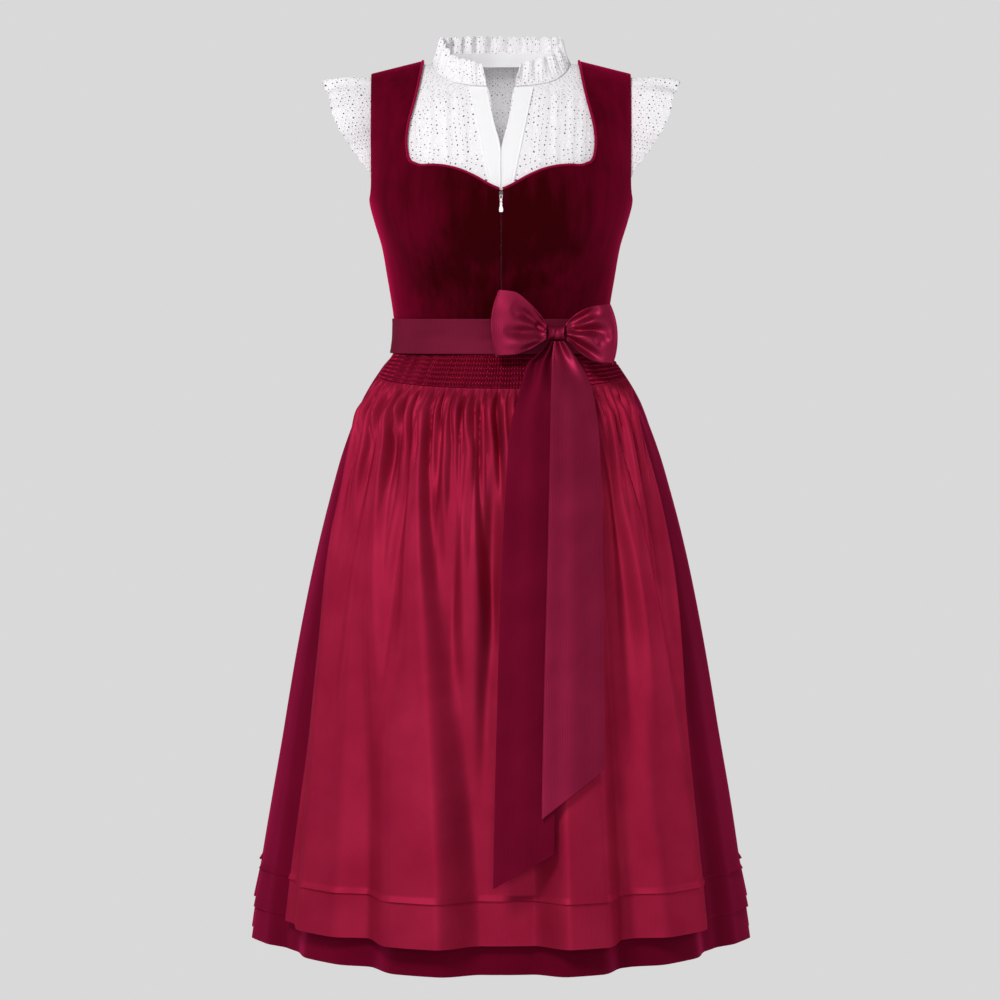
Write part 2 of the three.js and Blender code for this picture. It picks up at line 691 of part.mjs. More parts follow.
// Bodice, back: a centre panel between two princess seams, and side panels up into the straps.
function bodiceBack() {
  const seam = smooth(BACK_SIDE.slice(0, BACK_PRINCESS_ROWS).reverse(), "inDown", "inX");
  const neckline = smooth(BACK_NECKLINE, "x", "down");
  const seamTop = BACK_NECKLINE.at(-1).x;
  const spot = (u, v) => {
    const across = 1 - 2 * u;
    const down = lerp(WAIST, neckline(Math.abs(across) * seamTop), v);
    const { angle, root } = placeAt(Math.abs(across) * seam(down), down, true);
    return { angle: unturned(across < 0 ? 360 - angle : angle), root };
  };
  add(
    "bodice_back_centre",
    wall({
      rows: steps(7),
      columns: steps(8),
      face: (u, v) => onTorso(spot(u, v)),
      behind: (u, v) => onTorso(spot(u, v), -VELVET),
    }),
    "velvet",
  );
  addPair("bodice_back_side", sidePanel(BACK_SIDE, BACK_PRINCESS_ROWS, true), "velvet");
}

// Piping: a velvet roll that lies against the cut edge of the neckline.
function piping(places, count) {
  const edge = places.map((place) => onTorso(place, PIPING_LAYER));
  const roll = edge.map((point, i) => {
    const along = edge[Math.min(i + 1, edge.length - 1)].clone().sub(edge[Math.max(i - 1, 0)]);
    const inwards = along.cross(torsoFacing(places[i].angle, places[i].root)).normalize();
    return point.clone().addScaledVector(inwards, PIPING_INSET);
  });
  const sides = 5;
  const corners = steps(sides).slice(0, sides).map((t) => {
    const turn = 2 * Math.PI * t;
    return new THREE.Vector2(PIPING_RADIUS * Math.cos(turn), PIPING_RADIUS * Math.sin(turn));
  });
  const extrudePath = new THREE.CatmullRomCurve3(roll);
  return new THREE.ExtrudeGeometry(new THREE.Shape(corners), { steps: count, extrudePath });
}

function neckPiping() {
  const strapEdge = (table, seamRows, backwards) => {
    const inX = smoothRows(table, "inX");
    const inDown = smoothRows(table, "inDown");
    const seamTop = (seamRows - 1) / (table.length - 1);
    return steps(14).map((t) => {
      const v = lerp(1, seamTop, t);
      return placeAt(inX(v), Math.max(inDown(v), PIPING_END_ROOT ** 2), backwards);
    });
  };
  const heart = [80, 65, 50, 38, 27, 18, 11, 6, 2.2];
  const front = [
    ...strapEdge(FRONT_SIDE, PRINCESS_ROWS, false),
    ...heart.map((x) => placeAt(x, sweetheart(x))),
  ];
  addPair("piping_front", closed(piping(front, 22)), "piping");
  const backNeckline = smooth(BACK_NECKLINE, "x", "down");
  const half = [
    ...strapEdge(BACK_SIDE, BACK_PRINCESS_ROWS, true),
    ...[45, 30, 15].map((x) => placeAt(x, backNeckline(x), true)),
  ];
  const across = [
    ...half.map(({ angle, root }) => ({ angle: -angle, root })),
    { angle: 180, root: Math.sqrt(BACK_NECKLINE[0].down) },
    ...half.slice().reverse(),
  ];
  add("piping_back", closed(piping(across, 28)), "piping");
}

// An extruded or primitive geometry as one closed mesh of shared points.
function closed(geometry) {
  const bare = geometry.clone();
  bare.deleteAttribute("normal");
  bare.deleteAttribute("uv");
  const merged = mergeVertices(bare, 1e-3);
  return faceOutwards(Array.from(merged.attributes.position.array), Array.from(merged.index.array));
}

function toSolid(geometry) {
  const whole = closed(geometry);
  return new wasm.Manifold(
    new wasm.Mesh({
      numProp: 3,
      vertProperties: whole.attributes.position.array,
      triVerts: new Uint32Array(whole.index.array),
    }),
  );
}

function fromSolid(solid) {
  const mesh = solid.getMesh();
  return faceOutwards(Array.from(mesh.vertProperties), Array.from(mesh.triVerts));
}

// Zip: the tape behind the centre-front slit, the slider at its top and the pull tab hinged on its arch.
function zip() {
  const tapeSpot = (u, v) => {
    const down = lerp(WAIST - 2, NECKLINE_FOOT + 1, v);
    return placeAt(lerp(-TAPE_HALF, TAPE_HALF, u), down);
  };
  add(
    "zip_tape",
    wall({
      rows: steps(7),
      columns: steps(2),
      face: (u, v) => onTorso(tapeSpot(u, v), TAPE_LAYER),
      behind: (u, v) => onTorso(tapeSpot(u, v), TAPE_LAYER - TAPE_THICK),
    }),
    "zipTape",
  );
  const velvetFace = (down) => torsoBase(0, Math.sqrt(down)).y;
  const ends = [-SLIDER.tall / 2, SLIDER.tall / 2];
  const nearest = Math.min(...ends.map((end) => velvetFace(SLIDER.down + end)));
  const backY = nearest - SLIDER.gap;
  const frontY = backY - SLIDER.thick;
  const hingeY = frontY - ARCH.room;
  const shield = new THREE.Shape();
  shield.moveTo(-SLIDER.half, SLIDER.tall / 2 - SLIDER.cut);
  shield.lineTo(-SLIDER.half + SLIDER.cut, SLIDER.tall / 2);
  shield.lineTo(SLIDER.half - SLIDER.cut, SLIDER.tall / 2);
  shield.lineTo(SLIDER.half, SLIDER.tall / 2 - SLIDER.cut);
  shield.lineTo(SLIDER.half - SLIDER.taper, -SLIDER.tall / 2);
  shield.lineTo(-SLIDER.half + SLIDER.taper, -SLIDER.tall / 2);
  const body = new THREE.ExtrudeGeometry(shield, { depth: SLIDER.thick, bevelEnabled: false });
  body.rotateX(Math.PI / 2).translate(0, backY, -SLIDER.down);
  const arch = new THREE.Shape();
  const archFront = ARCH.room * 2 + ARCH.bar;
  arch.moveTo(-ARCH.outer, ARCH.root);
  arch.lineTo(-ARCH.outer, -archFront + ARCH.cut);
  arch.lineTo(-ARCH.outer + ARCH.cut, -archFront);
  arch.lineTo(ARCH.outer - ARCH.cut, -archFront);
  arch.lineTo(ARCH.outer, -archFront + ARCH.cut);
  arch.lineTo(ARCH.outer, ARCH.root);
  arch.lineTo(ARCH.inner, ARCH.root);
  arch.lineTo(ARCH.inner, -archFront + ARCH.bar);
  arch.lineTo(-ARCH.inner, -archFront + ARCH.bar);
  arch.lineTo(-ARCH.inner, ARCH.root);
  const bridge = new THREE.ExtrudeGeometry(arch, { depth: 2 * ARCH.half, bevelEnabled: false });
  bridge.rotateY(-Math.PI / 2).translate(ARCH.half, frontY, -SLIDER.down);
  add("zip_slider", fromSolid(toSolid(body).add(toSolid(bridge))), "zipMetal");

  const tab = new THREE.Shape();
  tab.moveTo(-PULL.neck, PULL_HOLE.top);
  tab.lineTo(PULL.neck, PULL_HOLE.top);
  tab.lineTo(PULL.neck, -PULL.neckFoot);
  tab.quadraticCurveTo(PULL.waist, -PULL.neckFoot - 3, PULL.half * 0.8, -PULL.long + 2 * PULL.half);
  tab.absarc(0, -PULL.long + PULL.half, PULL.half, PULL.bowl, Math.PI - PULL.bowl, true);
  tab.quadraticCurveTo(-PULL.waist, -PULL.neckFoot - 3, -PULL.neck, -PULL.neckFoot);
  const hole = new THREE.Path();
  hole.moveTo(-PULL_HOLE.half, -PULL_HOLE.top);
  hole.lineTo(-PULL_HOLE.half, -PULL_HOLE.foot);
  hole.lineTo(PULL_HOLE.half, -PULL_HOLE.foot);
  hole.lineTo(PULL_HOLE.half, -PULL_HOLE.top);
  tab.holes.push(hole);
  const cut = { depth: PULL.thick, bevelEnabled: false, curveSegments: 6 };
  const pull = new THREE.ExtrudeGeometry(tab, cut);
  pull.rotateX(Math.PI / 2).translate(0, hingeY + PULL.thick / 2, -SLIDER.down);
  add("zip_pull", closed(pull), "zipMetal");
}

// Skirt: four gathered quarters with two tucks above the hem.
function skirt() {
  const top = WAIST + SEAM_GAP;
  const tuckRows = [TUCKS[0].top, ...TUCKS.flatMap(({ foot }) => [foot, foot + TUCK_LIP])];
  const rows = [top, BELT_FOOT, 362, 392, 430, 510, 690, ...tuckRows, HEM].reverse();
  const frontColumns = [...steps(9).map((t) => t * 0.6), ...steps(13).slice(1).map((t) => 0.6 + t * 0.4)];
  const mirroredColumns = frontColumns.map((t) => 1 - t).reverse();
  const quarter = (from, to, gatheredColumns) => {
    const angle = (u, down) => {
      const gap = (turn) =>
        radToDeg(SEAM_HALF_GAP / (Math.abs(turn) === 90 ? skirtFront(down) : skirtHalf(down)));
      return lerp(from + gap(from), to - gap(to), u);
    };
    return wall({
      rows,
      columns: (down) => (down < GATHERED_REACH ? gatheredColumns : steps(20)),
      face: (u, down) => skirtPoint(angle(u, down), down, skirtOut(angle(u, down), down)),
      behind: (u, down) =>
        skirtPoint(angle(u, down), down, skirtOut(angle(u, down), down)).addScaledVector(
          skirtFacing(angle(u, down), down),
          -SKIRT_COTTON,
        ),
    });
  };
  add("skirt_front_left", quarter(0, 90, frontColumns), "skirtCotton");
  add("skirt_back_left", quarter(90, 180, steps(30)), "skirtCotton");
  add("skirt_front_right", quarter(-90, 0, mirroredColumns), "skirtCotton");
  add("skirt_back_right", quarter(-180, -90, steps(30)), "skirtCotton");
}

// Blouse: two fronts either side of the neck slit, a back, and the plain bands beside the slit.
function blouse() {
  const inX = smoothRows(BLOUSE_FRONT, "inX");
  const inDown = smoothRows(BLOUSE_FRONT, "inDown");
  const outDown = smoothRows(BLOUSE_FRONT, "outDown");
  const ridgeDown = RIDGE_ROOT ** 2;
  const edgeAngle = (down, backwards) => {
    const angle = armhole(down) + BLOUSE_ARMHOLE_PAST;
    const root = Math.sqrt(Math.max(down, ridgeDown));
    if (down > SIDE_SEAM_TOP) return besideSeam(root, backwards);
    return backwards ? 180 - angle : angle;
  };
  addPair(
    "blouse_front",
    torsoPanel({
      rows: steps(BLOUSE_FRONT.length - 1),
      columns: steps(7),
      inner: (v) => placeAt(inX(v), Math.max(inDown(v), ridgeDown)),
      outer: (v) => {
        const down = Math.max(outDown(v), ridgeDown);
        return { angle: edgeAngle(down, false), root: Math.sqrt(down) };
      },
      layer: BLOUSE_LAYER,
      thick: EYELET,
    }),
    "eyelet",
  );

  // The back is one piece: its patch is bounded by the neck and shoulder line, the armholes and the foot.
  const neckTip = NECK_SEAM_FRONT.at(-1);
  const neckDown = smooth([...[...NECK_SEAM_BACK].reverse(), { x: neckTip.x, down: ridgeDown }], "x", "down");
  const topEdge = (u) => {
    const across = 2 * u - 1;
    const reach = Math.abs(across) * SHOULDER_REACH;
    const root = Math.sqrt(reach < neckTip.x ? Math.max(neckDown(reach), ridgeDown) : ridgeDown);
    const stop = Math.max(angleAt(reach, root, true), edgeAngle(0, true));
    return { turn: Math.sign(across) * (180 - stop), root };
  };
  const sideDown = smooth(BLOUSE_BACK_SIDE, "v", "down");
  const side = (v) => {
    const down = sideDown(v);
    return { turn: 180 - edgeAngle(down, true), root: Math.sqrt(down) };
  };
  const foot = (u) => ({ turn: (2 * u - 1) * side(0).turn, root: Math.sqrt(BLOUSE_FOOT) });
  const patch = (u, v) => {
    const across = 2 * u - 1;
    const mixed = (pick, sideSign) => {
      const upDown = lerp(pick(foot(u)), pick(topEdge(u)), v);
      const rightLeft = sideSign ? across * pick(side(v)) : pick(side(v));
      const corners = lerp(pick(side(0)), pick(side(1)), v) * (sideSign ? across : 1);
      return upDown + rightLeft - corners;
    };
    const turn = mixed((spot) => spot.turn, true);
    const root = mixed((spot) => spot.root, false);
    return { angle: turn >= 0 ? 180 - turn : -180 - turn, root: Math.max(root, RIDGE_ROOT) };
  };
  add(
    "blouse_back",
    wall({
      rows: steps(6),
      columns: steps(14),
      face: (u, v) => onTorso(patch(u, v), BLOUSE_LAYER),
      behind: (u, v) => onTorso(patch(u, v), BLOUSE_LAYER - EYELET),
    }),
    "eyelet",
  );

  const bandIn = smooth(PLACKET, "down", "inX");
  const bandOut = smooth(PLACKET, "down", "outX");
  const bandSpot = (u, down) => placeAt(lerp(bandIn(down), bandOut(down), u), down);
  addPair(
    "placket",
    wall({
      rows: [29, 48, 67, 86, SLIT_FOOT, 127, 150],
      columns: steps(2),
      face: (u, down) => onTorso(bandSpot(u, down), PLACKET_LAYER),
      behind: (u, down) => onTorso(bandSpot(u, down), PLACKET_LAYER - PLACKET_THICK),
    }),
    "plainCotton",
  );
}

// Collar: a ruled ring from the neck seam up to the frill's edge, open at the front. The lower part is a
// plain stand; the upper part is gathered.
function collar() {
  const seamHalf = [
    ...NECK_SEAM_FRONT.map((row) => placeAt(row.x, row.down)),
    ...NECK_SEAM_BACK.map((row) => placeAt(row.x, row.down, true)),
  ].map((place) => onTorso(place, BLOUSE_LAYER));
  const topHalf = COLLAR_TOP.map((row) => new THREE.Vector3(row.x, row.y, row.z));
  const ring = (half) => {
    const other = half.slice(0, -1).map((point) => new THREE.Vector3(-point.x, point.y, point.z));
    return new THREE.CatmullRomCurve3([...other, ...half.slice().reverse()]);
  };
  const base = ring(seamHalf);
  const top = ring(topHalf);
  const plain = (u, v) => base.getPointAt(u).lerp(top.getPointAt(u), v);
  const facing = (u, v) => {
    const w = clamp(u, 0.01, 0.99);
    const along = plain(w + 0.01, v).sub(plain(w - 0.01, v));
    const up = plain(w, 1).sub(plain(w, 0));
    return up.cross(along).negate().normalize();
  };
  add(
    "collar_stand",
    wall({
      rows: [COLLAR_LIFT, STAND_SHARE],
      columns: steps(34),
      face: plain,
      behind: (u, v) => plain(u, v).addScaledVector(facing(u, v), -EYELET),
    }),
    "plainCotton",
  );
  const frill = (u, v) => {
    const loose = ease((v - STAND_SHARE) / (1 - STAND_SHARE));
    const wave = Math.cos(2 * Math.PI * FRILL_WAVES * u);
    const out = FRILL_OUT + (FRILL_OUT + FRILL_RISE * loose) * wave + FRILL_RISE * loose;
    return plain(u, v).addScaledVector(facing(u, v), out);
  };
  add(
    "collar_frill",
    wall({
      rows: [FRILL_START, 0.7, 1],
      columns: steps(3 * FRILL_WAVES),
      face: frill,
      behind: (u, v) => frill(u, v).addScaledVector(facing(u, v), -EYELET),
    }),
    "eyelet",
  );
}

// Sleeves: caps gathered into the armhole, from low in front over the shoulder to low behind.
function sleeves() {
  const reach = smooth(SLEEVE_REACH, "down", "wide");
  const rootPlace = (w) => {
    const down = Math.max(SLEEVE_FOOT * w * w, RIDGE_ROOT ** 2);
    const angle = armhole(down) + SLEEVE_PAST;
    return { angle: w > 0 ? 180 - angle : angle, root: Math.sqrt(down) };
  };
  const across = (u) => 2 * u - 1;
  const root = (w) => onTorso(rootPlace(w), BLOUSE_LAYER);
  const crest = (w) => {
    if (Math.abs(w) > SLEEVE_CREST) return root(w);
    return root(-SLEEVE_CREST).lerp(root(SLEEVE_CREST), (w / SLEEVE_CREST + 1) / 2);
  };
  const outwards = (w) => {
    const lean = Math.sign(w) * Math.min(1, Math.abs(w) * 2.2);
    const way = new THREE.Vector3(1, 0.3 * lean, -0.07 - 0.16 * Math.abs(w));
    return way.multiplyScalar(reach(SLEEVE_FOOT * w * w));
  };
  const sleeveFacing = (w) => {
    const t = clamp(w, -0.97, 0.97);
    const along = crest(t + 0.03).sub(crest(t - 0.03));
    return outwards(w).normalize().cross(along.normalize()).normalize();
  };
  const point = (u, v) => {
    const w = across(u);
    const wide = reach(SLEEVE_FOOT * w * w);
    const ripple = Math.cos(2 * Math.PI * SLEEVE_WAVES * u) * v ** 1.3;
    const wave = SLEEVE_WAVE.rise * ripple * Math.min(1, wide / SLEEVE_WAVE.fullWidth);
    const belly = SLEEVE_BELLY.rise * Math.sin(Math.PI * v) * Math.min(1, wide / SLEEVE_BELLY.fullWidth);
    return crest(w).addScaledVector(outwards(w), v).addScaledVector(sleeveFacing(w), wave + belly);
  };
  addPair(
    "sleeve",
    wall({
      rows: [0, 0.3, 0.65, 1],
      columns: steps(4 * SLEEVE_WAVES),
      face: point,
      behind: (u, v) => point(u, v).addScaledVector(sleeveFacing(across(u)), -EYELET),
    }),
    "eyelet",
  );
}

// Belt: the waistband in front and the tie ribbon behind, both outside the waist seam.
const beltHalf = smooth(BELT, "down", "half");
const beltFront = smooth(BELT, "down", "front");
const beltBack = smooth(BELT, "down", "back");
function beltPoint(angle, down, out = 0) {
  const depth = (Math.abs(angle) > 90 ? beltBack : beltFront)(down) + out;
  const turn = degToRad(angle);
  return new THREE.Vector3(
    (beltHalf(down) + out) * rounded(Math.sin(turn)),
    -depth * rounded(Math.cos(turn)),
    -down,
  );
}

function belt() {
  const half = (from, to) => {
    const angle = (u) => unturned(lerp(from + BELT_SEAM_ANGLE, to - BELT_SEAM_ANGLE, u));
    return wall({
      rows: [BELT_FOOT, WAIST, BELT_TOP],
      columns: steps(20),
      face: (u, down) => beltPoint(angle(u), down),
      behind: (u, down) => beltPoint(angle(u), down, -RIBBON),
    });
  };
  add("belt_front", half(-90, 90), "ribbon");
  add("belt_back", half(90, 270), "ribbon");
}

// Apron: a smocked head, raised in its outer points, over the gathered skirt of the apron.
function apron() {
  const head = (u, t) => lerp(BELT_FOOT + SEAM_GAP, smockingFoot(u), t);
  const smockingPoint = (u, t, out) =>
    skirtPoint(apronAngle(u, head(u, t)), head(u, t), apronClearance(head(u, t)) + out);
  const puff = (u, t) => {
    const row = Math.abs(Math.sin(Math.PI * SMOCKING_STITCH_ROWS * t)) ** 0.8;
    const rib = Math.cos(Math.PI * SMOCKING_RIBS * u) > 0 ? 1 : 0.35;
    return SMOCKING_PUFF * row * rib;
  };
  add(
    "apron_smocking",
    wall({
      rows: steps(2 * SMOCKING_STITCH_ROWS).reverse(),
      columns: steps(SMOCKING_RIBS),
      face: (u, t) => smockingPoint(u, t, puff(u, t) + SMOCKING_FACE),
      behind: (u, t) => smockingPoint(u, t, SMOCKING_BACK),
      backRows: steps(2).reverse(),
      backColumns: steps(SMOCKING_RIBS / 2),
    }),
    "apronSatin",
  );

  const tuckRows = [TUCKS[0].top, TUCKS[0].foot, TUCKS[0].foot + TUCK_LIP, APRON_FOOT];
  const rows = [0, 12, 32, 62, 100, 180, 300, 435, ...tuckRows.map((row) => row - SMOCKING_FOOT)];
  const down = (u, row) => {
    const start = smockingFoot(u) + SEAM_GAP;
    return SMOCKING_FOOT + row - (SMOCKING_FOOT - start) * (1 - rise(row, 0, 90));
  };
  const out = (u, row) => apronOut(u, down(u, row)) + tuckRise(down(u, row), TUCKS.slice(0, 1));
  const point = (u, row) => skirtPoint(apronAngle(u, down(u, row)), down(u, row), out(u, row));
  add(
    "apron_skirt",
    wall({
      rows: [...rows].reverse(),
      columns: (row) => steps(row < APRON_GATHERED_REACH ? 3 * APRON_GATHERS : 36),
      face: point,
      behind: (u, row) =>
        point(u, row).addScaledVector(skirtFacing(apronAngle(u, down(u, row)), down(u, row)), -SATIN),
    }),
    "apronSatin",
  );
}

// The bow: two loops pinched at the knot, whose band passes back to the belt, and two tails that hang
// over the apron.
function bow() {
  const knotY = beltPoint(angleOnBelt(KNOT.x, KNOT.down), KNOT.down).y - KNOT.ahead;

  const loop = (table, side, farY) => {
    const above = smooth(table, "out", "above");
    const below = smooth(table, "out", "below");
    const reach = table.at(-1).out;
    const start = table[0].out;
    const spot = (u, v, deeper) => {
      const turn = lerp(LOOP_TURN.start, 1 - LOOP_TURN.start, u) * 2 * Math.PI;
      const bulge = 1 - LOOP_TURN.round * (2 * v - 0.9) ** 2;
      const share = (1 - Math.cos(turn)) / 2;
      const out = lerp(start, (reach - deeper) * bulge, share);
      const pinched = (1 - share) * Math.sin(Math.min(1, share * LOOP_CRIMP.fade) * Math.PI * 0.5);
      const crimp = LOOP_CRIMP.depth * Math.cos(v * LOOP_CRIMP.halves * Math.PI) * pinched;
      const belly = (LOOP_DEPTH - deeper) * Math.sin(turn) * (0.75 + 0.25 * Math.sin(Math.PI * v));
      const y = lerp(LOOP_BACK.knot, farY, share) - LOOP_DEPTH - belly - Math.sign(Math.sin(turn)) * crimp;
      const shift = Math.sin(turn) < 0 ? LOOP_TURN.droop * share : 0;
      const z = lerp(-below(out), above(out), v) - shift;
      return new THREE.Vector3(KNOT.x + side * out, y, z - KNOT.down);
    };
    return wall({
      rows: steps(6),
      columns: steps(14),
      face: (u, v) => spot(u, v, 0),
      behind: (u, v) => spot(u, v, RIBBON),
    });
  };
  add("bow_loop_right", loop(RIGHT_LOOP, -1, LOOP_BACK.right), "ribbon");
  add("bow_loop_left", loop(LEFT_LOOP, 1, LOOP_BACK.left), "ribbon");

  const knotPoint = (u, v, deeper) => {
    const turn = lerp(-0.12, 1.12, v) * Math.PI;
    const waist = 1 - KNOT_SOFTNESS.pinch * Math.sin(Math.PI * u);
    const x = KNOT.x + (u - 0.5) * KNOT.wide * (0.8 + 0.2 * Math.abs(Math.cos(turn)));
    const down = KNOT.down + (KNOT.tall / 2 - deeper) * Math.cos(turn) * waist;
    const crease = KNOT_SOFTNESS.crease * Math.cos(u * 6 * Math.PI);
    const swell = (KNOT.swell - deeper) * Math.sin(turn) * waist;
    const seat = beltPoint(angleOnBelt(x, down), down).y - SEAM_GAP;
    return new THREE.Vector3(x, swell < 0 ? seat : knotY - swell - crease, -down);
  };
  add(
    "bow_knot",
    wall({
      rows: steps(8),
      columns: steps(5),
      face: (u, v) => knotPoint(u, v, 0),
      behind: (u, v) => knotPoint(u, v, KNOT.wall),
    }),
    "ribbon",
  );

  tail("bow_tail_right", BACK_TAIL, BACK_TAIL_POINT, TAIL_GAP.back);
  tail("bow_tail_left", FRONT_TAIL, FRONT_TAIL_POINT, TAIL_GAP.front);
}

const angleOnBelt = (x, down) => radToDeg(Math.asin((x / beltHalf(down)) ** (TORSO_ROUNDNESS / 2)));

// The most that the apron's folds stand out at a depth, within the tails' width.
function tallestFold(down) {
  const uAt = (angle) => (angle - apronRight(down)) / (apronLeft(down) - apronRight(down));
  const angles = steps(14).map((t) => lerp(TAIL_ANGLES.from, TAIL_ANGLES.to, t));
  return Math.max(...angles.map((angle) => apronOut(uAt(angle), down)));
}

// A tail hangs in front of the apron's tallest folds and follows the round of the skirt.
function tail(name, table, point, gap) {
  const right = smooth(table, "down", "right");
  const left = smooth(table, "down", "left");
  const top = table[0].down;
  const spot = (u, v) => {
    const foot = lerp(point.right, point.left, u);
    const down = lerp(foot, top, v);
    const edge = Math.min(down, table.at(-1).down);
    const x = lerp(right(edge), left(edge), u);
    const out = Math.max(tallestFold(Math.max(down, 382)), 0) + gap;
    const half = skirtHalf(down) + out;
    const depth = skirtFront(down) + out;
    const atKnot = 1 - rise(down, top, top + 60);
    const y = -depth * Math.sqrt(1 - (x / half) ** 2);
    const pleat = TAIL_PLEAT * Math.cos(u * 4 * Math.PI) * (0.25 + 0.75 * atKnot);
    const onBelt = beltPoint(angleOnBelt(KNOT.x, BELT_FOOT), BELT_FOOT).y - gap - 1;
    return new THREE.Vector3(x, Math.min(y, lerp(y, onBelt, atKnot)) - pleat, -down);
  };
  const facing = new THREE.Vector3(0.25, -1, 0.25).normalize();
  add(
    name,
    wall({
      rows: [0, 0.12, 0.25, 0.38, 0.5, 0.62, 0.74, 0.83, 0.9, 0.95, 1],
      columns: steps(6),
      face: spot,
      behind: (u, v) => spot(u, v).addScaledVector(facing, -RIBBON),
    }),
    "ribbon",
  );
}

bodiceFront();
bodiceBack();
neckPiping();
zip();
skirt();
blouse();
collar();
sleeves();
belt();
apron();
bow();

export default group;
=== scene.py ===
"""A dirndl set, filled out as if worn: eyelet blouse, velvet bodice and gathered skirt, satin apron and bow."""

import math

import bpy
import numpy as np
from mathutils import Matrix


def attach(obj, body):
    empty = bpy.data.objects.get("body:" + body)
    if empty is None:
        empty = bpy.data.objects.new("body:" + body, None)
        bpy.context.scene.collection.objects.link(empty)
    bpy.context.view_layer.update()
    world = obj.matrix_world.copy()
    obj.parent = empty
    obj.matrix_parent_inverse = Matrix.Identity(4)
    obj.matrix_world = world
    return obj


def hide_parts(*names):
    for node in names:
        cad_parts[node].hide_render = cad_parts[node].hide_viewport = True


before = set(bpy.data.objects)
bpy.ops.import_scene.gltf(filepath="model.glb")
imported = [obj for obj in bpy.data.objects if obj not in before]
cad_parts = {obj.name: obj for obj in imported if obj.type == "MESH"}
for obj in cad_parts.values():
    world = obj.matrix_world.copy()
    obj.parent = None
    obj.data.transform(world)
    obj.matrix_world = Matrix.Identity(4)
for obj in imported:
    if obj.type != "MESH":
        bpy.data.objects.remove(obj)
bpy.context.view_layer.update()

MM = 0.001  # the pieces' sizes are in millimetres; depths run down from the shoulders

# ---------- Studio ----------
# A level camera in front of the dress, a pale floor below the hem that fades into a pale room, and soft
# light from high in front, with weaker light from both sides.
CAMERA_PLACE = (-0.0012, -4.5, -0.278)
CAMERA_TILT = 3.05
FLOOR_DROP = 1.4
ROOM_GREY = (0.694, 0.694, 0.694, 1)
ROOM_LIGHT = 0.22

bpy.context.scene.view_settings.view_transform = "Standard"
bpy.ops.object.select_all(action="DESELECT")
bpy.ops.object.camera_add(location=CAMERA_PLACE, rotation=(math.radians(90 - CAMERA_TILT), 0, 0))
camera = bpy.context.active_object
camera.data.lens = 135
bpy.context.scene.camera = camera


def step(material, kind, inputs=None, **settings):
    """Adds a shader node. An input given as another node's output is linked, any other value is set."""
    made = material.node_tree.nodes.new("ShaderNode" + kind)
    for name, value in settings.items():
        setattr(made, name, value)
    for socket, value in (inputs or {}).items():
        if isinstance(value, bpy.types.NodeSocket):
            material.node_tree.links.new(value, made.inputs[socket])
        else:
            made.inputs[socket].default_value = value
    return made.outputs


room = bpy.data.worlds.new("room")
bpy.context.scene.world = room
room.use_nodes = True
room.node_tree.nodes.clear()
seen = step(room, "LightPath")["Is Camera Ray"]
strength = step(room, "MapRange", {"Value": seen, "To Min": ROOM_LIGHT / ROOM_GREY[0], "To Max": 1})["Result"]
glow = step(room, "Background", {"Color": ROOM_GREY, "Strength": strength})["Background"]
step(room, "OutputWorld", {"Surface": glow})

for name, place, aim, size, power in [
    ("key_light", (-1.25, -2.75, 2.05), (0, 0, -0.45), 1.0, 88),
    ("front_light", (0.1, -3.7, 0.0), (0, 0, -0.3), 1.1, 22),
    ("left_light", (-2.4, 0.2, 0.1), (0, 0, -0.4), 1.1, 12),
    ("right_light", (2.4, 0.2, 0.1), (0, 0, -0.4), 1.1, 12),
]:
    bpy.ops.object.light_add(type="AREA", location=place)
    light = bpy.context.active_object
    light.name = name
    light.data.size = size
    light.data.energy = power
    away = [a - b for a, b in zip(place, aim)]
    flat = math.hypot(away[0], away[1])
    light.rotation_euler = (math.atan2(flat, away[2]), 0, math.atan2(away[0], -away[1]))

bpy.ops.mesh.primitive_plane_add(size=40, location=(0, 0, -FLOOR_DROP))
floor = bpy.context.active_object
floor.name = "floor"
pale = bpy.data.materials.new("pale_floor")
pale.use_nodes = True
pale.node_tree.nodes.clear()
spot = step(pale, "TexCoord")["Object"]
far = step(pale, "VectorMath", {0: spot}, operation="LENGTH")["Value"]
fade = step(pale, "MapRange", {"Value": far, "From Min": 0.4, "From Max": 1.4}, interpolation_type="SMOOTHSTEP")
matt = step(pale, "BsdfDiffuse", {"Color": (0.86, 0.86, 0.86, 1)})["BSDF"]
room_tone = step(pale, "Emission", {"Color": ROOM_GREY})["Emission"]
blend = step(pale, "MixShader", {0: fade["Result"], 1: matt, 2: room_tone})["Shader"]
step(pale, "OutputMaterial", {"Surface": blend})
floor.data.materials.append(pale)


# ---------- Bodice ----------
# Seven velvet panels: two centre fronts, two side fronts that run up into the straps, a centre back and
# two side backs. They are sewn together along princess and side seams, so each edge rolls in a little.
def table(names, *rows):
    """A short table: one column of numbers for each name."""
    return {name: np.array(column, float) for name, column in zip(names.split(), zip(*rows))}


def lerp(a, b, t):
    return a + (b - a) * t


def ease(t):
    t = np.clip(t, 0, 1)
    return t * t * (3 - 2 * t)


def rise(at, start, end):
    return ease((at - start) / (end - start))


def bell(distance, wide):
    return np.exp(-0.5 * (distance / wide) ** 2)


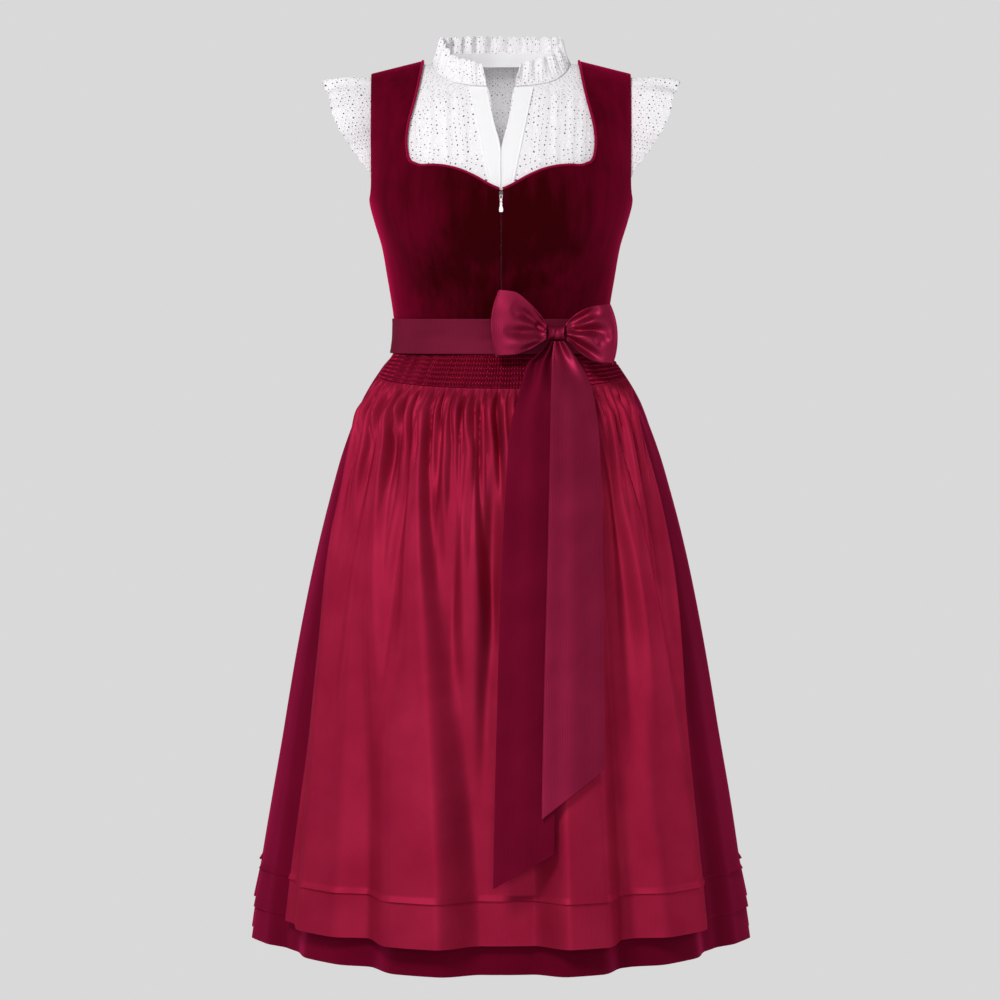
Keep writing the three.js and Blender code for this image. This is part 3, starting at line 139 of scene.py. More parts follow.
def smooth(xs, ys):
    """A smooth curve through two columns of a table, which never swings past its rows."""
    xs, ys = np.asarray(xs, float), np.asarray(ys, float)
    if xs[0] > xs[-1]:
        xs, ys = xs[::-1], ys[::-1]
    slopes = np.diff(ys) / np.diff(xs)
    before = np.concatenate([slopes[:1], slopes])
    after = np.concatenate([slopes, slopes[-1:]])
    total = np.where(before * after > 0, before + after, 1)
    tangents = np.where(before * after > 0, 2 * before * after / total, 0)

    def curve(at):
        at = np.clip(at, xs[0], xs[-1])
        i = np.clip(np.searchsorted(xs, at, side="right") - 1, 0, len(xs) - 2)
        span = xs[i + 1] - xs[i]
        t = (at - xs[i]) / span
        bend = span * t * (1 - t) * ((1 - t) * tangents[i] - t * tangents[i + 1])
        return lerp(ys[i], ys[i + 1], ease(t)) + bend

    return curve


def smooth_rows(rows, column):
    """The same, with the table's rows spread evenly from 0 to 1."""
    return smooth(np.linspace(0, 1, len(rows[column])), rows[column])


def stack(x, y, z):
    return np.stack(np.broadcast_arrays(x, y, z), axis=-1).astype(float)


def unit(vectors):
    return vectors / np.maximum(np.linalg.norm(vectors, axis=-1, keepdims=True), 1e-12)


WAIST = 320
SEAM = 0.02
ZIP_SLIT = 0.15
ROUNDNESS = 2.35
TORSO = table(
    "down half front back",
    (0, 163, 0, 0),
    (4, 163, 25, 23),
    (12, 163, 43, 39),
    (25, 163, 62, 55),
    (50, 163, 85, 74),
    (80, 163, 103, 88),
    (112, 162.5, 117, 96),
    (150, 160.5, 126, 99),
    (185, 151.5, 128, 95),
    (215, 142.5, 122, 89),
    (250, 136.3, 107, 81),
    (290, 129.8, 94, 75.5),
    (320, 126.3, 88, 74),
)
torso_half = smooth(np.sqrt(TORSO["down"]), TORSO["half"])
torso_front = smooth(np.sqrt(TORSO["down"]), TORSO["front"])
torso_back = smooth(np.sqrt(TORSO["down"]), TORSO["back"])


def rounded(value):
    return np.sign(value) * np.abs(value) ** (2 / ROUNDNESS)


def torso_base(angle, root):
    """A place on the torso: an angle from centre front and the square root of the depth down the body."""
    down = root * root
    turn = np.radians(angle)
    backwards = np.abs(angle) > 90
    x = torso_half(root) * rounded(np.sin(turn))
    y = -np.where(backwards, torso_back(root), torso_front(root)) * rounded(np.cos(turn))
    # the bust's fullness ends before the side seam, so that front and back meet there
    bust = 9 * bell(down - 178, 42) * (bell(x - 70, 38) + bell(x + 70, 38)) * (1 - rise(np.abs(angle), 76, 89))
    nape = np.maximum(0, 1 - (x / 91) ** 2)
    hollow = 42 * nape**2 * np.maximum(0, 1 - down / 140) ** 2
    y = y + np.where(backwards, hollow, -bust)
    slope = lerp(8, -8, np.clip((np.abs(x) - 91) / 64, 0, 1)) + np.where(backwards, 5 * nape, 0)
    return stack(x, y, slope * np.maximum(0, 1 - down / 110) ** 2 - down)


def torso_facing(angle, root):
    fall = 0.1
    row = np.clip(root, 0.35, math.sqrt(WAIST) - fall)
    side = np.where(angle < 0, -1, 1)
    around = np.abs(angle)
    flat = side * np.where(around < 90, np.minimum(around, 89), np.maximum(around, 91))
    across = torso_base(flat + 1, row) - torso_base(flat - 1, row)
    downwards = torso_base(flat, row + fall) - torso_base(flat, row - fall)
    facing = unit(np.cross(downwards, across))
    facing[..., 1] *= np.clip(root / 1.5, 0, 1)
    return unit(facing)


def on_torso(angle, root, out=0):
    angle, root = np.broadcast_arrays(np.asarray(angle, float), np.asarray(root, float))
    out = np.asarray(out, float)[..., None]
    return torso_base(angle, root) + torso_facing(angle, root) * out


def angle_at(x, root, backwards=False):
    """The angle at which the torso's surface is x from the middle."""
    sine = np.minimum(1, np.abs(x) / torso_half(root)) ** (ROUNDNESS / 2)
    angle = np.degrees(np.arcsin(sine))
    return np.where(x < 0, -1, 1) * (180 - angle if backwards else angle)


def beside_seam(root, backwards):
    """The angle half a seam's gap short of the side seam."""
    depth = torso_back(root) if backwards else torso_front(root)
    angle = np.degrees(np.arccos((SEAM / depth) ** (ROUNDNESS / 2)))
    return 180 - angle if backwards else angle


def cloth(name, surface, across, down, thick, scale=1.0):
    """A piece of cloth: a flat grid shaped to its worn form, with its thickness added inwards.

    surface(u, v, out) gives the point at u across and v up the piece, moved out. The UV map is in metres
    of cloth, measured along the middle of the piece.
    """
    bpy.ops.object.select_all(action="DESELECT")
    bpy.ops.mesh.primitive_grid_add(x_subdivisions=across, y_subdivisions=down, size=1, calc_uvs=True)
    piece = bpy.context.active_object
    piece.name = name
    mesh = piece.data
    flat = np.empty(len(mesh.vertices) * 3, np.float32)
    mesh.vertices.foreach_get("co", flat)
    u, v = flat.reshape(-1, 3)[:, 0].astype(float) + 0.5, flat.reshape(-1, 3)[:, 1].astype(float) + 0.5
    points = surface(u, v, 0)
    mesh.vertices.foreach_set("co", (points * MM).astype(np.float32).ravel())
    mesh.update()
    grid = points.reshape(down + 1, across + 1, 3)
    sideways = np.linalg.norm(np.diff(grid, axis=1), axis=2).mean(axis=0).cumsum()
    upwards = np.linalg.norm(np.diff(grid, axis=0), axis=2).mean(axis=1).cumsum()
    sideways = np.concatenate([[0], sideways]) - sideways[-1] / 2
    upwards = np.concatenate([[0], upwards])
    metres = np.stack(np.meshgrid(sideways, upwards), axis=-1).reshape(-1, 2) * MM * scale
    corners = np.empty(len(mesh.loops), np.int32)
    mesh.loops.foreach_get("vertex_index", corners)
    mesh.uv_layers.active.data.foreach_set("uv", metres[corners].astype(np.float32).ravel())
    normals = np.empty(len(mesh.vertices) * 3, np.float32)
    mesh.vertices.foreach_get("normal", normals)
    outwards = surface(u, v, 1) - points
    if np.sum(normals.reshape(-1, 3) * outwards) < 0:
        mesh.flip_normals()
    bpy.ops.object.shade_smooth()
    thickness = piece.modifiers.new("thickness", "SOLIDIFY")
    thickness.thickness = thick * MM
    thickness.offset = -1
    bpy.ops.object.modifier_apply(modifier="thickness")
    bpy.ops.object.shade_smooth_by_angle(angle=math.radians(50))
    return piece


def sew_on(piece, material, nodes=(), body="dress"):
    """Gives a finished piece its material, its place in the set and the solids that it stands for."""
    piece.data.materials.clear()
    piece.data.materials.append(material)
    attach(piece, body)
    if nodes:
        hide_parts(*nodes)
    return piece


def finish(name, **values):
    """A new material whose main shader carries these plain values."""
    material = bpy.data.materials.new(name)
    material.use_nodes = True
    shader = material.node_tree.nodes["Principled BSDF"]
    for socket, value in values.items():
        shader.inputs[socket.replace("_", " ")].default_value = value
    return material


def shader_input(material, socket, value):
    material.node_tree.links.new(value, material.node_tree.nodes["Principled BSDF"].inputs[socket])


def two_tone(material, amount, dark, light):
    """Colour that goes from dark to light with an amount from 0 to 1."""
    return step(material, "Mix", {0: amount, 6: (*dark, 1), 7: (*light, 1)}, data_type="RGBA")[2]


def math_step(material, operation, a, b=0.0):
    return step(material, "Math", {0: a, 1: b}, operation=operation)["Value"]


# Velvet is dark face on, and its pile lights up crimson where it turns away. Its colour is also painted
# lighter towards the sides and straps, a painted sheen for the light that the pile catches there.
velvet = finish(
    "velvet",
    Roughness=0.95,
    Specular_IOR_Level=0.02,
    Sheen_Weight=0.7,
    Sheen_Roughness=0.42,
    Sheen_Tint=(0.85, 0.008, 0.12, 1),
)
spot = step(velvet, "TexCoord")["Object"]
aside = math_step(velvet, "ABSOLUTE", step(velvet, "SeparateXYZ", {"Vector": spot})["X"])
# painted sheen: the base colour lightens with distance from the middle, over the sides and straps
painted_side_sheen = step(velvet, "MapRange", {"Value": aside, "From Min": 0.05, "From Max": 0.16, "To Max": 0.6})["Result"]
tall = step(velvet, "VectorMath", {0: spot, 1: (1, 1, 0.12)}, operation="MULTIPLY")["Vector"]
strokes = step(velvet, "TexNoise", {"Vector": tall, "Scale": 70, "Detail": 4, "Roughness": 0.6})["Fac"]
patches = step(velvet, "TexNoise", {"Vector": spot, "Scale": 11, "Detail": 3})["Fac"]
nap_and_painted_sheen = math_step(velvet, "ADD", strokes, math_step(velvet, "MULTIPLY", patches, 1.2))
nap_and_painted_sheen = math_step(velvet, "ADD", math_step(velvet, "SUBTRACT", nap_and_painted_sheen, 1.02), painted_side_sheen)
shader_input(velvet, "Base Color", two_tone(velvet, nap_and_painted_sheen, (0.028, 0.0002, 0.0012), (0.13, 0.0005, 0.014)))
pile = step(velvet, "TexNoise", {"Vector": spot, "Scale": 1400, "Detail": 2})["Fac"]
nap = step(velvet, "Bump", {"Height": pile, "Strength": 0.3, "Distance": 0.0003})["Normal"]
shader_input(velvet, "Normal", nap)

SWEETHEART = table("x down", (0, 150.5), (12.5, 145), (36, 132), (60, 123.5), (78, 121.2), (96, 121))
FRONT_SIDE = table(
    "inner_x inner_down outer_down",
    (68, 320, 320),
    (70.5, 285, 285),
    (76, 245, 250),
    (83, 208, 215),
    (90, 166, 180),
    (96, 121, 161),
    (105, 117.5, 152),
    (111, 106, 140),
    (112.3, 90, 124),
    (109.3, 68, 98),
    (102.3, 42, 66),
    (97.8, 22, 38),
    (95.3, 8, 16),
    (94.3, 0, 0),
)
FRONT_SEAM_ROWS = 6
BACK_NECKLINE = table("x down", (0, 85.3), (30, 84.3), (60, 81.5))
BACK_SIDE = table(
    "inner_x inner_down outer_down",
    (40, 320, 320),
    (42, 285, 285),
    (45, 245, 250),
    (49, 208, 215),
    (53.5, 165, 180),
    (57.5, 115, 161),
    (60, 81.5, 152),
    (69, 80.3, 146),
    (77, 77, 140),
    (85.5, 70.5, 133),
    (91, 61, 122),
    (95, 46, 98),
    (96.3, 30, 66),
    (96.2, 17, 38),
    (95.5, 8, 16),
    (94.3, 0, 0),
)
BACK_SEAM_ROWS = 7
ARMHOLE = table("down angle", (0, 70.5), (98, 70.5), (124, 71), (140, 72.2), (152, 75), (161, 81), (180, 90))
VELVET_THICK = 1.6
RIDGE_ROOT = 0.022
armhole = smooth(ARMHOLE["down"], ARMHOLE["angle"])
sweetheart = smooth(SWEETHEART["x"], SWEETHEART["down"])
back_neckline = smooth(BACK_NECKLINE["x"], BACK_NECKLINE["down"])
princess = smooth(FRONT_SIDE["inner_down"][:FRONT_SEAM_ROWS], FRONT_SIDE["inner_x"][:FRONT_SEAM_ROWS])
back_princess = smooth(BACK_SIDE["inner_down"][:BACK_SEAM_ROWS], BACK_SIDE["inner_x"][:BACK_SEAM_ROWS])

# Soft creases of the velvet: from one end to the other, their half width and their depth.
BODICE_CREASES = table(
    "x0 down0 x1 down1 wide deep",
    (26, 318, 34, 262, 5, 0.5),
    (47, 319, 50, 276, 4, 0.6),
    (88, 318, 80, 282, 5, 0.7),
    (106, 316, 92, 290, 4, 0.6),
    (118, 300, 98, 276, 5, 0.5),
    (108, 168, 84, 190, 7, 0.5),
    (112, 150, 92, 158, 6, 0.5),
    (116, 100, 112, 132, 5, 0.4),
)


def creases(rows, x, down):
    """How deep the soft troughs of a table of creases lie at a place."""
    depth = np.zeros(np.broadcast(x, down).shape)
    for x0, down0, x1, down1, wide, deep in zip(*rows.values()):
        long = math.hypot(x1 - x0, down1 - down0)
        along = ((x - x0) * (x1 - x0) + (down - down0) * (down1 - down0)) / long
        beside = ((x - x0) * (down1 - down0) - (down - down0) * (x1 - x0)) / long
        ends = rise(along, -0.1 * long, 0.25 * long) * rise(long - along, -0.1 * long, 0.4 * long)
        depth = depth + deep * ends * bell(beside, wide)
    return depth


def seam_roll(distance, deep=0.55, wide=1.6):
    """How far a sewn edge sinks at a distance from its seam."""
    return -deep * np.exp(-distance / wide)


def front_centre(side):
    def surface(u, v, out):
        down = lerp(WAIST, sweetheart(u * SWEETHEART["x"][-1]), v)
        x = lerp(ZIP_SLIT, princess(down) - SEAM, u)
        lip = 0.7 * bell(x - 2.6, 0.9) - 0.6 * np.exp(-x / 0.6) - 0.5 * bell(x - 6.2, 0.8)
        wave = 0.18 * np.sin(down / 9.0 + 0.7 * np.sin(down / 17)) * np.exp(-x / 5)
        relief = seam_roll(princess(down) - x) + lip + wave - creases(BODICE_CREASES, x, down)
        root = np.sqrt(down)
        return on_torso(side * angle_at(x, root), root, out + relief)

    return surface


def side_panel(rows, seam_rows, side, backwards):
    inner_x = smooth_rows(rows, "inner_x")
    inner_down = smooth_rows(rows, "inner_down")
    outer_down = smooth_rows(rows, "outer_down")
    seam_top = (seam_rows - 1) / (len(rows["inner_x"]) - 1)

    def surface(u, v, out):
        root_in = np.sqrt(np.maximum(inner_down(v), RIDGE_ROOT**2))
        start = angle_at(inner_x(v) + np.where(v <= seam_top, 2 * SEAM, 0), root_in, backwards)
        down_out = outer_down(v)
        root_out = np.maximum(np.sqrt(down_out), RIDGE_ROOT)
        if backwards:
            end = np.maximum(180 - armhole(down_out), beside_seam(root_out, True))
        else:
            end = np.minimum(armhole(down_out), beside_seam(root_out, False))
        angle, root = lerp(start, end, u), lerp(root_in, root_out, u)
        x = torso_half(root) * np.sin(np.radians(angle))
        in_seam = np.where(v <= seam_top, 1, 0) * seam_roll(80 * u)
        out_seam = seam_roll(80 * (1 - u), 0.5)
        relief = in_seam + out_seam - creases(BODICE_CREASES, x, root * root)
        return on_torso(side * angle, root, out + relief)

    return surface


def back_centre(u, v, out):
    across = 1 - 2 * u
    down = lerp(WAIST, back_neckline(np.abs(across) * BACK_NECKLINE["x"][-1]), v)
    x = np.abs(across) * back_princess(down)
    root = np.sqrt(down)
    angle = angle_at(x, root, True) * np.where(across < 0, -1, 1)
    relief = seam_roll(back_princess(down) - x) - 0.5 * creases(BODICE_CREASES, x + 24, down)
    return on_torso(angle, root, out + relief)


panels = [("back_centre", back_centre, 60, 70, (0.115, 0.245), 0.024)]
for side, hand in ((1, "left"), (-1, "right")):
    front_side = side_panel(FRONT_SIDE, FRONT_SEAM_ROWS, side, False)
    back_side = side_panel(BACK_SIDE, BACK_SEAM_ROWS, side, True)
    panels.append(("front_centre_" + hand, front_centre(side), 56, 80, (0.088, 0.205), 0.016))
    panels.append(("front_side_" + hand, front_side, 44, 110, (0.165, 0.35), 0.034))
    panels.append(("back_side_" + hand, back_side, 44, 110, (0.16, 0.35), 0.039))
for part, surface, across, down, cut, area in panels:
    panel = cloth("velvet_" + part, surface, across, down, VELVET_THICK)
    sew_on(panel, velvet, ["bodice_" + part])


# ---------- Piping ----------
# A cord covered with a bias strip of the same velvet, sewn along the neckline: down each strap, along the
# sweetheart edge to the zip, and round the back. Its colour is painted lighter, a painted sheen for the light it
# catches.
PIPING_LAYER = -0.4
PIPING_INSET = 1.1
PIPING_RADIUS = 1.6
PIPING_END_ROOT = 0.2
HEART_X = (80, 65, 50, 38, 27, 18, 11, 6, 2.2)

roll_velvet_painted_sheen = finish(
    "velvet_roll",
    Roughness=0.85,
    Specular_IOR_Level=0.05,
    Sheen_Weight=1.0,
    Sheen_Roughness=0.35,
    Sheen_Tint=(1.0, 0.03, 0.2, 1),
)
spot = step(roll_velvet_painted_sheen, "TexCoord")["Object"]
twist = step(roll_velvet_painted_sheen, "TexNoise", {"Vector": spot, "Scale": 420, "Detail": 2})["Fac"]
# painted sheen: the roll's colour is set lighter than the bodice velvet's
shader_input(roll_velvet_painted_sheen, "Base Color", two_tone(roll_velvet_painted_sheen, twist, (0.13, 0.001, 0.014), (0.32, 0.003, 0.045)))
nap = step(roll_velvet_painted_sheen, "Bump", {"Height": twist, "Strength": 0.4, "Distance": 0.0004})["Normal"]
shader_input(roll_velvet_painted_sheen, "Normal", nap)


def strap_edge(rows, seam_rows, backwards):
    """Places along the neck edge of a strap, from the shoulder down to the princess seam."""
    inner_x, inner_down = smooth_rows(rows, "inner_x"), smooth_rows(rows, "inner_down")
    v = np.linspace(1, (seam_rows - 1) / (len(rows["inner_x"]) - 1), 15)
    root = np.sqrt(np.maximum(inner_down(v), PIPING_END_ROOT**2))
    return angle_at(inner_x(v), root, backwards), root


def piping(name, angles, roots, node):
    edge = on_torso(angles, roots, PIPING_LAYER)
    along = np.gradient(edge, axis=0)
    inwards = unit(np.cross(along, torso_facing(angles, roots)))
    path = edge + inwards * PIPING_INSET
    curve = bpy.data.curves.new(name, "CURVE")
    curve.dimensions = "3D"
    curve.resolution_u = 6
    curve.bevel_depth = PIPING_RADIUS * MM
    curve.bevel_resolution = 3
    curve.use_fill_caps = True
    line = curve.splines.new("BEZIER")
    line.bezier_points.add(len(path) - 1)
    for point, place in zip(line.bezier_points, path):
        point.co = place * MM
        point.handle_left_type = point.handle_right_type = "AUTO"
    piece = bpy.data.objects.new(name, curve)
    bpy.context.collection.objects.link(piece)
    bpy.ops.object.select_all(action="DESELECT")
    bpy.context.view_layer.objects.active = piece
    piece.select_set(True)
    bpy.ops.object.convert(target="MESH")
    piece = bpy.context.active_object
    bpy.ops.object.shade_smooth()
    return sew_on(piece, roll_velvet_painted_sheen, [node])


strap_angles, strap_roots = strap_edge(FRONT_SIDE, FRONT_SEAM_ROWS, False)
heart_roots = np.sqrt(sweetheart(np.array(HEART_X, float)))
front_angles = np.concatenate([strap_angles, angle_at(np.array(HEART_X, float), heart_roots)])
front_roots = np.concatenate([strap_roots, heart_roots])
for side, hand in ((1, "left"), (-1, "right")):
    # the other side's path is mirrored, so its points run the other way to keep the roll outside the edge
    order = slice(None, None, side)
    piping("velvet_roll_" + hand, (side * front_angles)[order], front_roots[order], "piping_front_" + hand)
back_angles, back_roots = strap_edge(BACK_SIDE, BACK_SEAM_ROWS, True)
low_x = np.array((45.0, 30.0, 15.0))
low_roots = np.sqrt(back_neckline(low_x))
back_angles = np.concatenate([back_angles, angle_at(low_x, low_roots, True)])
back_roots = np.concatenate([back_roots, low_roots])
middle_root = math.sqrt(BACK_NECKLINE["down"][0])
back_angles = np.concatenate([-back_angles, [180], back_angles[::-1]])
back_roots = np.concatenate([back_roots, [middle_root], back_roots[::-1]])
piping("velvet_roll_back", back_angles, back_roots, "piping_back")


# ---------- Zip ----------
# A narrow zip behind the centre-front slit: a woven tape, a closed row of fine teeth, and at its top a
# plated slider with a drop-shaped pull that hangs from the slider's arch.
TAPE_LAYER = -2.4
TAPE_HALF = 9
TEETH_LAYER = -1.7
TOOTH = (2.6, 0.75, 0.8)
TOOTH_PITCH = 1.3
SLIDER_DOWN = 156
SLIDER = table("width depth height", (6, 2.6, 9.5))
SLIDER_GAP = 0.35
ARCH_ROOM = 0.85

zip_tape = finish("zip_tape", Roughness=0.8)
cloth_uv = step(zip_tape, "TexCoord")["UV"]
rows_of_weft = step(zip_tape, "TexWave", {"Vector": cloth_uv, "Scale": 320}, bands_direction="Y")["Fac"]
shader_input(zip_tape, "Base Color", two_tone(zip_tape, rows_of_weft, (0.05, 0.002, 0.008), (0.09, 0.004, 0.014)))
zip_metal = finish("zip_metal", Base_Color=(0.4, 0.33, 0.33, 1), Metallic=1.0)
spot = step(zip_metal, "TexCoord")["Object"]
wear = step(zip_metal, "TexNoise", {"Vector": spot, "Scale": 900, "Detail": 3})["Fac"]
polish = step(zip_metal, "MapRange", {"Value": wear, "To Min": 0.16, "To Max": 0.42})["Result"]
shader_input(zip_metal, "Roughness", polish)
dark_metal = finish("zip_dark_metal", Base_Color=(0.1, 0.09, 0.095, 1), Metallic=1.0)
spot = step(dark_metal, "TexCoord")["Object"]
wear = step(dark_metal, "TexNoise", {"Vector": spot, "Scale": 900, "Detail": 3})["Fac"]
polish = step(dark_metal, "MapRange", {"Value": wear, "To Min": 0.25, "To Max": 0.5})["Result"]
shader_input(dark_metal, "Roughness", polish)


def tape(u, v, out):
    down = lerp(WAIST - 2, SWEETHEART["down"][0] + 1, v)
    root = np.sqrt(down)
    return on_torso(angle_at(lerp(-TAPE_HALF, TAPE_HALF, u), root), root, out + TAPE_LAYER)


def metal_block(name, size, place, bevel):
    """A small block of metal with rounded edges."""
    bpy.ops.object.select_all(action="DESELECT")
    bpy.ops.mesh.primitive_cube_add(size=1)
    block = bpy.context.active_object
    block.name = name
    corners = np.empty(24, np.float32)
    block.data.vertices.foreach_get("co", corners)
    shaped = corners.reshape(-1, 3) * np.array(size) * MM + np.array(place) * MM
    block.data.vertices.foreach_set("co", shaped.astype(np.float32).ravel())
    edge = block.modifiers.new("edge", "BEVEL")
    edge.width = bevel * MM
    edge.segments = 2
    bpy.ops.object.modifier_apply(modifier="edge")
    return block


def join(pieces, name):
    """Joins finished meshes into one piece."""
    bpy.ops.object.select_all(action="DESELECT")
    for piece in pieces:
        piece.select_set(True)
    bpy.context.view_layer.objects.active = pieces[0]
    bpy.ops.object.join()
    joined = bpy.context.active_object
    joined.name = name
    return joined


woven_tape = sew_on(cloth("woven_tape", tape, 12, 60, 0.8), zip_tape, ["zip_tape"])

teeth = []
tooth_downs = np.arange(SLIDER_DOWN + 8, WAIST - 6, TOOTH_PITCH)
for k, down in enumerate(tooth_downs):
    here = on_torso(np.array(0.0), np.array(math.sqrt(down)), TEETH_LAYER)
    lean = 0.5 if k % 2 else -0.5
    teeth.append(metal_block("tooth", TOOTH, (lean, here[1], here[2]), 0.2))
zip_teeth = join(teeth, "zip_teeth")
sew_on(zip_teeth, dark_metal)

velvet_face = torso_base(np.zeros(2), np.sqrt(SLIDER_DOWN + np.array((-4.75, 4.75))))[:, 1].min()
slider_back = velvet_face - SLIDER_GAP
slider_front = slider_back - 2.6
hinge_y = slider_front - ARCH_ROOM

bpy.ops.object.select_all(action="DESELECT")
bpy.ops.mesh.primitive_circle_add(vertices=28, radius=1, fill_type="NGON")
slider_body = bpy.context.active_object
outline = np.empty(84, np.float32)
slider_body.data.vertices.foreach_get("co", outline)
ring = outline.reshape(-1, 3)
shield = np.empty_like(ring)
narrowing = 1 - 0.16 * (1 - ring[:, 1])
shield[:, 0] = np.sign(ring[:, 0]) * np.abs(ring[:, 0]) ** 0.6 * 2.9 * narrowing
shield[:, 1] = slider_back
shield[:, 2] = np.sign(ring[:, 1]) * np.abs(ring[:, 1]) ** 0.6 * 4.65 - SLIDER_DOWN
slider_body.data.vertices.foreach_set("co", (shield * MM).astype(np.float32).ravel())
bpy.ops.object.mode_set(mode="EDIT")
bpy.ops.mesh.select_all(action="SELECT")
bpy.ops.mesh.extrude_region_move(TRANSFORM_OT_translate={"value": (0, -2.5 * MM, 0)})
bpy.ops.mesh.select_all(action="SELECT")
bpy.ops.mesh.normals_make_consistent(inside=False)
bpy.ops.object.mode_set(mode="OBJECT")
edge = slider_body.modifiers.new("edge", "BEVEL")
edge.width = 0.5 * MM
edge.segments = 3
edge.limit_method = "ANGLE"
bpy.ops.object.modifier_apply(modifier="edge")
arch_front = slider_front - 2 * ARCH_ROOM - 0.45
arch_parts = [
    slider_body,
    metal_block("arch_bar", (1.1, 0.85, 5.6), (0, arch_front, -SLIDER_DOWN), 0.3),
    metal_block("arch_top", (1.1, 2.6, 0.85), (0, arch_front + 1.1, -SLIDER_DOWN + 2.45), 0.25),
    metal_block("arch_foot", (1.1, 2.6, 0.85), (0, arch_front + 1.1, -SLIDER_DOWN - 2.45), 0.25),
]
slider = join(arch_parts, "slider")
bpy.ops.object.shade_smooth_by_angle(angle=math.radians(40))
sew_on(slider, dark_metal, ["zip_slider"])


# The pull is a drop with an eye at its narrow end: a ring of cloth-like strips between two outlines.
def pull(u, v, out):
    turn = 2 * np.pi * u
    sway, fall = np.sin(turn), np.cos(turn)
    eye_x, eye_z = 0.95 * np.sign(sway) * np.abs(sway) ** 0.35, -2.25 + 1.75 * np.sign(fall) * np.abs(fall) ** 0.35
    below = np.clip((1 - fall) / 2, 0, 1)
    drop_z = np.where(fall > 0, -2.5 + 3.0 * fall, -2.5 + 17.3 * fall)
    bowl = 2.45 * np.sqrt(np.clip(1 - ((drop_z + 17.4) / 2.9) ** 2, 0, 1))
    waist = lerp(1.85, 1.25, rise(-drop_z, 2, 8)) * lerp(1, 1.9, rise(-drop_z, 8, 16.5))
    wide = np.where(drop_z < -17.2, bowl, np.minimum(waist, 2.45))
    wide = np.where(fall > 0, 1.85 * np.abs(sway) ** 0.5, wide)
    drop_x = np.sign(sway) * np.where(np.abs(sway) < 1e-6, 0, wide)
    x, z = lerp(eye_x, drop_x, v), lerp(eye_z, drop_z, v)
    swell = 0.12 * np.sin(np.pi * v) * below
    return stack(x, hinge_y - 0.42 - swell - out, z - SLIDER_DOWN)


piece = cloth("pull", pull, 72, 8, 0.84)
bpy.ops.object.mode_set(mode="EDIT")
bpy.ops.mesh.select_all(action="SELECT")
bpy.ops.mesh.remove_doubles(threshold=0.02 * MM)
bpy.ops.mesh.normals_make_consistent(inside=False)
bpy.ops.object.mode_set(mode="OBJECT")
sew_on(piece, zip_metal, ["zip_pull"], body="zip_pull")


# ---------- Skirt ----------
# Four quarters of fine-ribbed cotton velvet, gathered into the waist seam. Two tucks run round it above
# the hem: a narrow one, and one as deep as the band below it.
HEM = 1040
HEM_DIP = 11  # how much lower the hem hangs at centre front
SKIRT = table(
    "down half front back",
    (320, 126, 86.5, 73),
    (341, 129, 90, 76),
    (360, 141.5, 100, 90),
    (380, 154.5, 112, 103),
    (400, 165.5, 121, 114),
    (430, 178, 132, 128),
    (470, 192, 144, 143),
    (520, 205.5, 156, 157),
    (600, 224, 174, 177),
    (700, 243, 194, 198),
    (820, 262.5, 215, 219),
    (940, 281.5, 235, 238),
    (1040, 295, 248, 250),
)
FOLDS = table(
    "top foot half rise",
    (-31, -18.5, 9.5, 40),
    (22, 18.5, 7.5, 40),
    (-56, -45, 9, 22),
    (43, 45, 9, 24),
    (-80, -76, 8.5, 20),
    (78, 76, 8.5, 20),
    (-104, -104, 9, 24),
    (104, 105, 9, 24),
    (-129, -131, 9, 28),
    (131, 130, 9.5, 28),
    (-157, -157, 8.5, 30),
    (155, 156, 8.5, 26),
    (180, 180, 8, 26),
)
FOLD_GROWTH = table("down share", (400, 0), (520, 0.25), (700, 0.5), (900, 0.8), (1040, 1))
FOLD_MEAN = 11
GATHER_RISE = table("down rise", (320, 0.3), (341, 0.6), (356, 2.4), (392, 3), (430, 2.2), (500, 0))
TUCKS = ((950, 957), (958, 1003))
TUCK_RISE = 3.2
SKIRT_ROWS = table(
    "v down", (0, 320.3), (0.24, 400), (0.52, 700), (0.68, 945), (0.82, 962), (0.89, 998), (0.95, 1008), (1, HEM)
)
skirt_half = smooth(SKIRT["down"], SKIRT["half"])
skirt_front = smooth(SKIRT["down"], SKIRT["front"])
skirt_back = smooth(SKIRT["down"], SKIRT["back"])
fold_growth = smooth(FOLD_GROWTH["down"], FOLD_GROWTH["share"])
gather_rise = smooth(GATHER_RISE["down"], GATHER_RISE["rise"])
skirt_row = smooth(SKIRT_ROWS["v"], SKIRT_ROWS["down"])

cotton = finish(
    "ribbed_cotton",
    Roughness=0.9,
    Specular_IOR_Level=0.04,
    Sheen_Weight=0.6,
    Sheen_Roughness=0.45,
    Sheen_Tint=(0.9, 0.02, 0.18, 1),
)
cloth_uv = step(cotton, "TexCoord")["UV"]
ribs = step(cotton, "TexWave", {"Vector": cloth_uv, "Scale": 190, "Distortion": 0.3}, bands_direction="X")["Fac"]
spot = step(cotton, "TexCoord")["Object"]
patches = step(cotton, "TexNoise", {"Vector": spot, "Scale": 9, "Detail": 4})["Fac"]
tone = math_step(cotton, "ADD", math_step(cotton, "MULTIPLY", ribs, 0.25), math_step(cotton, "MULTIPLY", patches, 0.75))
shader_input(cotton, "Base Color", two_tone(cotton, tone, (0.06, 0.0002, 0.005), (0.17, 0.0008, 0.022)))
rib_bump = step(cotton, "Bump", {"Height": ribs, "Strength": 0.2, "Distance": 0.0004})["Normal"]
shader_input(cotton, "Normal", rib_bump)


def turn_between(a, b):
    return np.abs((a - b + 540) % 360 - 180)


def fold_ridge(angle, centre, half):
    return ease(1.5 - turn_between(angle, centre) / half)


def large_folds(angle, down):
    lean = rise(down, 400, HEM)
    total = sum(
        height * fold_ridge(angle, lerp(top, foot, lean), half) for top, foot, half, height in zip(*FOLDS.values())
    )
    return fold_growth(down) * (total - FOLD_MEAN)


